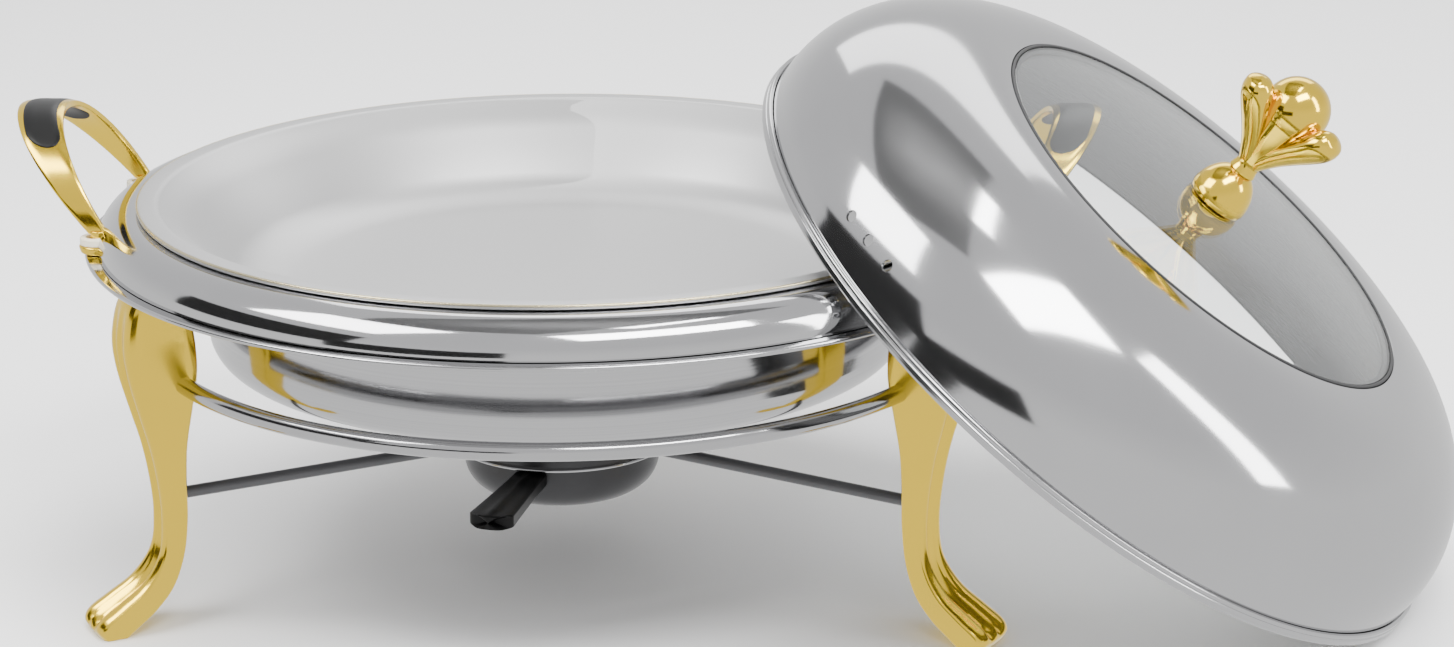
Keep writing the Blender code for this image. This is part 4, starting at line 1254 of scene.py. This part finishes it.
class WARMER_OT_knob(bpy.types.Operator):
    """Builds the flower knob, its base, and the washer and screw under the glass"""

    bl_idname = "warmer.knob"
    bl_label = "Knob"

    def execute(self, context):
        sizes = context.scene.warmer.lid
        lean = lid_frame()
        gold = finish("knob_gold")
        bottom = sizes.crown + GAP
        top = bottom + KNOB_BASE_HEIGHT
        bore = KNOB_BORE
        seat = bottom + GLASS_RISE
        rise = (KNOB_BASE_HEIGHT - GLASS_RISE - 0.0016) * 1.06
        base = [(bore, seat), (KNOB_FOOT - 0.0006, seat, 0.0004), (KNOB_FOOT, seat + 0.0016, 0.0006)]
        base += arc(0.0, seat + 0.0020, KNOB_FOOT, rise, 2, 66, 20)
        base += [(KNOB_NECK + 0.0005, top - 0.0006, 0.0005), (KNOB_NECK + 0.0005, top, 0.0003), (bore, top)]
        lid_piece("knob_foot", base, "knob_gold", ["knob_base"], SMALL_STEPS)

        start = top + GAP
        ball_z = bottom + KNOB_HEIGHT - KNOB_BALL
        neck = [(0.0, start), (KNOB_NECK + 0.0010, start, 0.0006), (KNOB_NECK, start + 0.0036, 0.003)]
        neck += [(0.0054, start + 0.0090, 0.004), (0.0082, start + 0.0150, 0.006)]
        joint_x, joint_z = KNOB_BALL * math.cos(KNOB_JOINT), ball_z - KNOB_BALL * math.sin(KNOB_JOINT)
        neck += [(joint_x + 0.0001, joint_z, 0.004), (KNOB_BALL * 0.90, ball_z - 0.0020), (0.0, ball_z)]
        lid_piece("knob_neck", neck, "knob_gold", ["knob_body"], SMALL_STEPS, closed=False, count=8)
        self.petals(lean, start, ball_z - start, gold, sizes.petals)
        ball = bmesh.new()
        place = Matrix.Translation((0.0, 0.0, ball_z))
        bmesh.ops.create_uvsphere(ball, u_segments=64, v_segments=40, radius=KNOB_BALL, matrix=lean @ place)
        piece("knob_ball", ball, gold, "lid")

        washer_top = sizes.crown + GLASS_RISE - GLASS_THICKNESS - GAP - 0.0001
        washer_low = washer_top - WASHER_THICKNESS
        ring = [(bore, washer_low, 0.0002), (WASHER, washer_low, 0.0005), (WASHER, washer_top, 0.0003)]
        ring += [(bore, washer_top, 0.0002)]
        lid_piece("glass_washer", ring, "knob_gold", ["knob_washer"], 64)
        head, tip = washer_low - GAP, top - 0.001
        low = head - LID_SCREW_HEAD_HEIGHT
        screw = [(0.0, low), (0.0030, low, 0.001), (LID_SCREW_HEAD, head - 0.0010, 0.001)]
        screw += [(LID_SCREW_HEAD, head, 0.0003), (LID_SCREW, head), (LID_SCREW, tip), (0.0, tip)]
        lid_piece("glass_screw", screw, "knob_gold", ["knob_screw"], 48, closed=False)
        return {"FINISHED"}

    def petals(self, lean, start, height, gold, count):
        """The lobes that curl out of the neck round the ball, their tips rounded."""
        joined = bmesh.new()
        for number in range(count):
            turn_to = Matrix.Rotation(math.radians(FIRST_PETAL + 360 * number / count), 4, "Z")

            def place(along, turn):
                out, share, half, thick = through(PETAL_STATIONS, along)
                ahead = through(PETAL_STATIONS, min(1.0, along + PETAL_STEP))
                behind = through(PETAL_STATIONS, max(0.0, along - PETAL_STEP))
                slope = Vector((ahead[0] - behind[0], 0.0, (ahead[1] - behind[1]) * height)).normalized()
                normal = Vector((-slope.z, 0.0, slope.x))
                angle = math.tau * turn
                half, thick = max(half, 0.0), max(thick, 0.0)
                at = Vector((out, 0.0, start + share * height)) + normal * math.sin(angle) * thick
                at.y += math.cos(angle) * half
                return lean @ turn_to @ at

            work = swept(56, 40, place)
            merge(joined, work)
        piece("knob_petals", joined, gold, "lid")


# ---------------------------------------------------------------- stage


AIM = (0.05, 0.0, 0.08)  # what the lights and cards face, from the dish's axis, as are their places
FLOOR_SIZE = 9.0
# Name, place, width and height, power
SOFTBOXES = (
    ("key_softbox", (-0.66, -0.34, 1.02), (0.70, 0.50), 12),
    ("top_softbox", (0.10, 0.10, 2.20), (1.2, 0.7), 44),
    ("front_softbox", (0.60, -0.85, 1.45), (1.1, 0.5), 32),
    ("back_softbox", (0.3, 1.3, 1.2), (1.6, 0.6), 10),
    ("right_strip", (1.55, -0.55, 0.75), (0.30, 1.1), 12),
)
# Name, place, width and height, tone
CARDS = (
    ("dark_card_high", (-0.08, 0.08, 1.60), (1.5, 1.0), 0.14),
    ("dark_card_left", (-0.95, -0.38, 0.42), (1.0, 0.42), 0.02),
    ("dark_card_front", (-0.55, -1.05, 0.16), (0.9, 0.30), 0.02),
)


def area_light(name, place, size, power):
    """A soft rectangular light."""
    data = bpy.data.lights.new(name, "AREA")
    data.shape = "RECTANGLE"
    data.size, data.size_y = size
    data.energy = power
    obj = bpy.data.objects.new(name, data)
    bpy.context.scene.collection.objects.link(obj)
    obj.location = Vector(place) + DISH_AXIS
    obj.rotation_euler = (Vector(AIM) - Vector(place)).to_track_quat("-Z", "Y").to_euler()
    return obj


def flag(name, place, size, tone):
    """A matt card that the polished metal mirrors as a dark shape."""
    work = bmesh.new()
    bmesh.ops.create_grid(work, x_segments=1, y_segments=1, size=0.5)
    mesh = bpy.data.meshes.new(name)
    work.to_mesh(mesh)
    work.free()
    obj = bpy.data.objects.new(name, mesh)
    bpy.context.scene.collection.objects.link(obj)
    obj.scale = (*size, 1.0)
    obj.location = Vector(place) + DISH_AXIS
    obj.rotation_euler = (Vector(AIM) - Vector(place)).to_track_quat("-Z", "Y").to_euler()
    made, tree, shader = new_material(name)
    shader.inputs["Base Color"].default_value = (tone, tone, tone, 1.0)
    shader.inputs["Roughness"].default_value = 1.0
    shader.inputs["Specular IOR Level"].default_value = 0.0
    mesh.materials.append(made)
    obj.visible_camera = False
    obj.visible_shadow = False
    return obj


class WARMER_OT_stage(bpy.types.Operator):
    """Builds the pale floor, the soft lights and the camera"""

    bl_idname = "warmer.stage"
    bl_label = "Stage"

    def execute(self, context):
        settings = context.scene.warmer.stage
        work = bmesh.new()
        bmesh.ops.create_grid(work, x_segments=1, y_segments=1, size=FLOOR_SIZE)
        mesh = bpy.data.meshes.new("floor")
        work.to_mesh(mesh)
        work.free()
        floor = bpy.data.objects.new("floor", mesh)
        context.scene.collection.objects.link(floor)
        floor.location = (0.0, 0.0, -0.0002)
        floor.visible_glossy = False
        made, tree, shader = new_material("floor_white")
        shader.inputs["Base Color"].default_value = (0.92, 0.92, 0.92, 1.0)
        shader.inputs["Roughness"].default_value = 0.9
        shader.inputs["Specular IOR Level"].default_value = 0.1
        mesh.materials.append(made)

        world = bpy.data.worlds.new("studio")
        context.scene.world = world
        world.use_nodes = True
        tree = world.node_tree
        back = tree.nodes["Background"]
        back.inputs["Strength"].default_value = 1.3
        where = tree.nodes.new("ShaderNodeTexCoord")
        split = tree.nodes.new("ShaderNodeSeparateXYZ")
        ramp = tree.nodes.new("ShaderNodeValToRGB")
        tree.links.new(where.outputs["Generated"], split.inputs[0])
        tree.links.new(split.outputs["Z"], ramp.inputs["Fac"])
        tree.links.new(ramp.outputs["Color"], back.inputs["Color"])
        stops = ramp.color_ramp.elements
        stops[0].position, stops[0].color = 0.0, (0.95, 0.95, 0.95, 1.0)
        stops[1].position, stops[1].color = 1.0, (0.78, 0.78, 0.79, 1.0)
        middle = stops.new(0.35)
        middle.color = (0.80, 0.80, 0.81, 1.0)

        for name, place, size, power in SOFTBOXES:
            area_light(name, place, size, power * settings.light)
        for name, place, size, tone in CARDS:
            flag(name, place, size, tone)

        data = bpy.data.cameras.new("camera")
        data.sensor_width = 36.0
        data.lens = settings.focal_length
        data.clip_start = 0.02
        camera = bpy.data.objects.new("camera", data)
        context.scene.collection.objects.link(camera)
        camera.location = Vector(settings.camera_place) + DISH_AXIS
        camera.rotation_euler = settings.camera_turn
        context.scene.camera = camera
        return {"FINISHED"}


# ---------------------------------------------------------------- add-on


class WARMER_PT_panel(bpy.types.Panel):
    """Lists the pieces and their sizes"""

    bl_idname = "WARMER_PT_panel"
    bl_label = "Food Warmer"
    bl_space_type = "VIEW_3D"
    bl_region_type = "UI"
    bl_category = "Food Warmer"

    def draw(self, context):
        layout = self.layout
        for operator in OPERATORS:
            layout.operator(operator.bl_idname)
        settings = context.scene.warmer
        for label in ("stand", "burner", "pan", "handle", "lid", "colour", "stage"):
            box = layout.box()
            box.label(text=label.title())
            group = getattr(settings, label)
            for name in group.__annotations__:
                box.prop(group, name)


GROUPS = (
    StandSizes,
    BurnerSizes,
    PanSizes,
    HandleSizes,
    LidSizes,
    Colours,
    StageSettings,
    WarmerSettings,
)
OPERATORS = (
    WARMER_OT_legs,
    WARMER_OT_ring_and_braces,
    WARMER_OT_burner,
    WARMER_OT_lever,
    WARMER_OT_water_pan,
    WARMER_OT_shoulder,
    WARMER_OT_food_pan,
    WARMER_OT_handles,
    WARMER_OT_handle_feet,
    WARMER_OT_lid,
    WARMER_OT_glass,
    WARMER_OT_knob,
    WARMER_OT_stage,
)


def register():
    for made in (*GROUPS, *OPERATORS, WARMER_PT_panel):
        bpy.utils.register_class(made)
    bpy.types.Scene.warmer = PointerProperty(type=WarmerSettings)


def unregister():
    del bpy.types.Scene.warmer
    for made in reversed((*GROUPS, *OPERATORS, WARMER_PT_panel)):
        bpy.utils.unregister_class(made)


def main():
    register()
    bpy.ops.warmer.legs()
    bpy.ops.warmer.ring_and_braces()
    bpy.ops.warmer.burner()
    bpy.ops.warmer.lever()
    bpy.ops.warmer.water_pan()
    bpy.ops.warmer.shoulder()
    bpy.ops.warmer.food_pan()
    bpy.ops.warmer.handles()
    bpy.ops.warmer.handle_feet()
    bpy.ops.warmer.lid()
    bpy.ops.warmer.glass()
    bpy.ops.warmer.knob()
    bpy.ops.warmer.stage()
    bpy.context.view_layer.update()


if __name__ == "__main__":
    main()
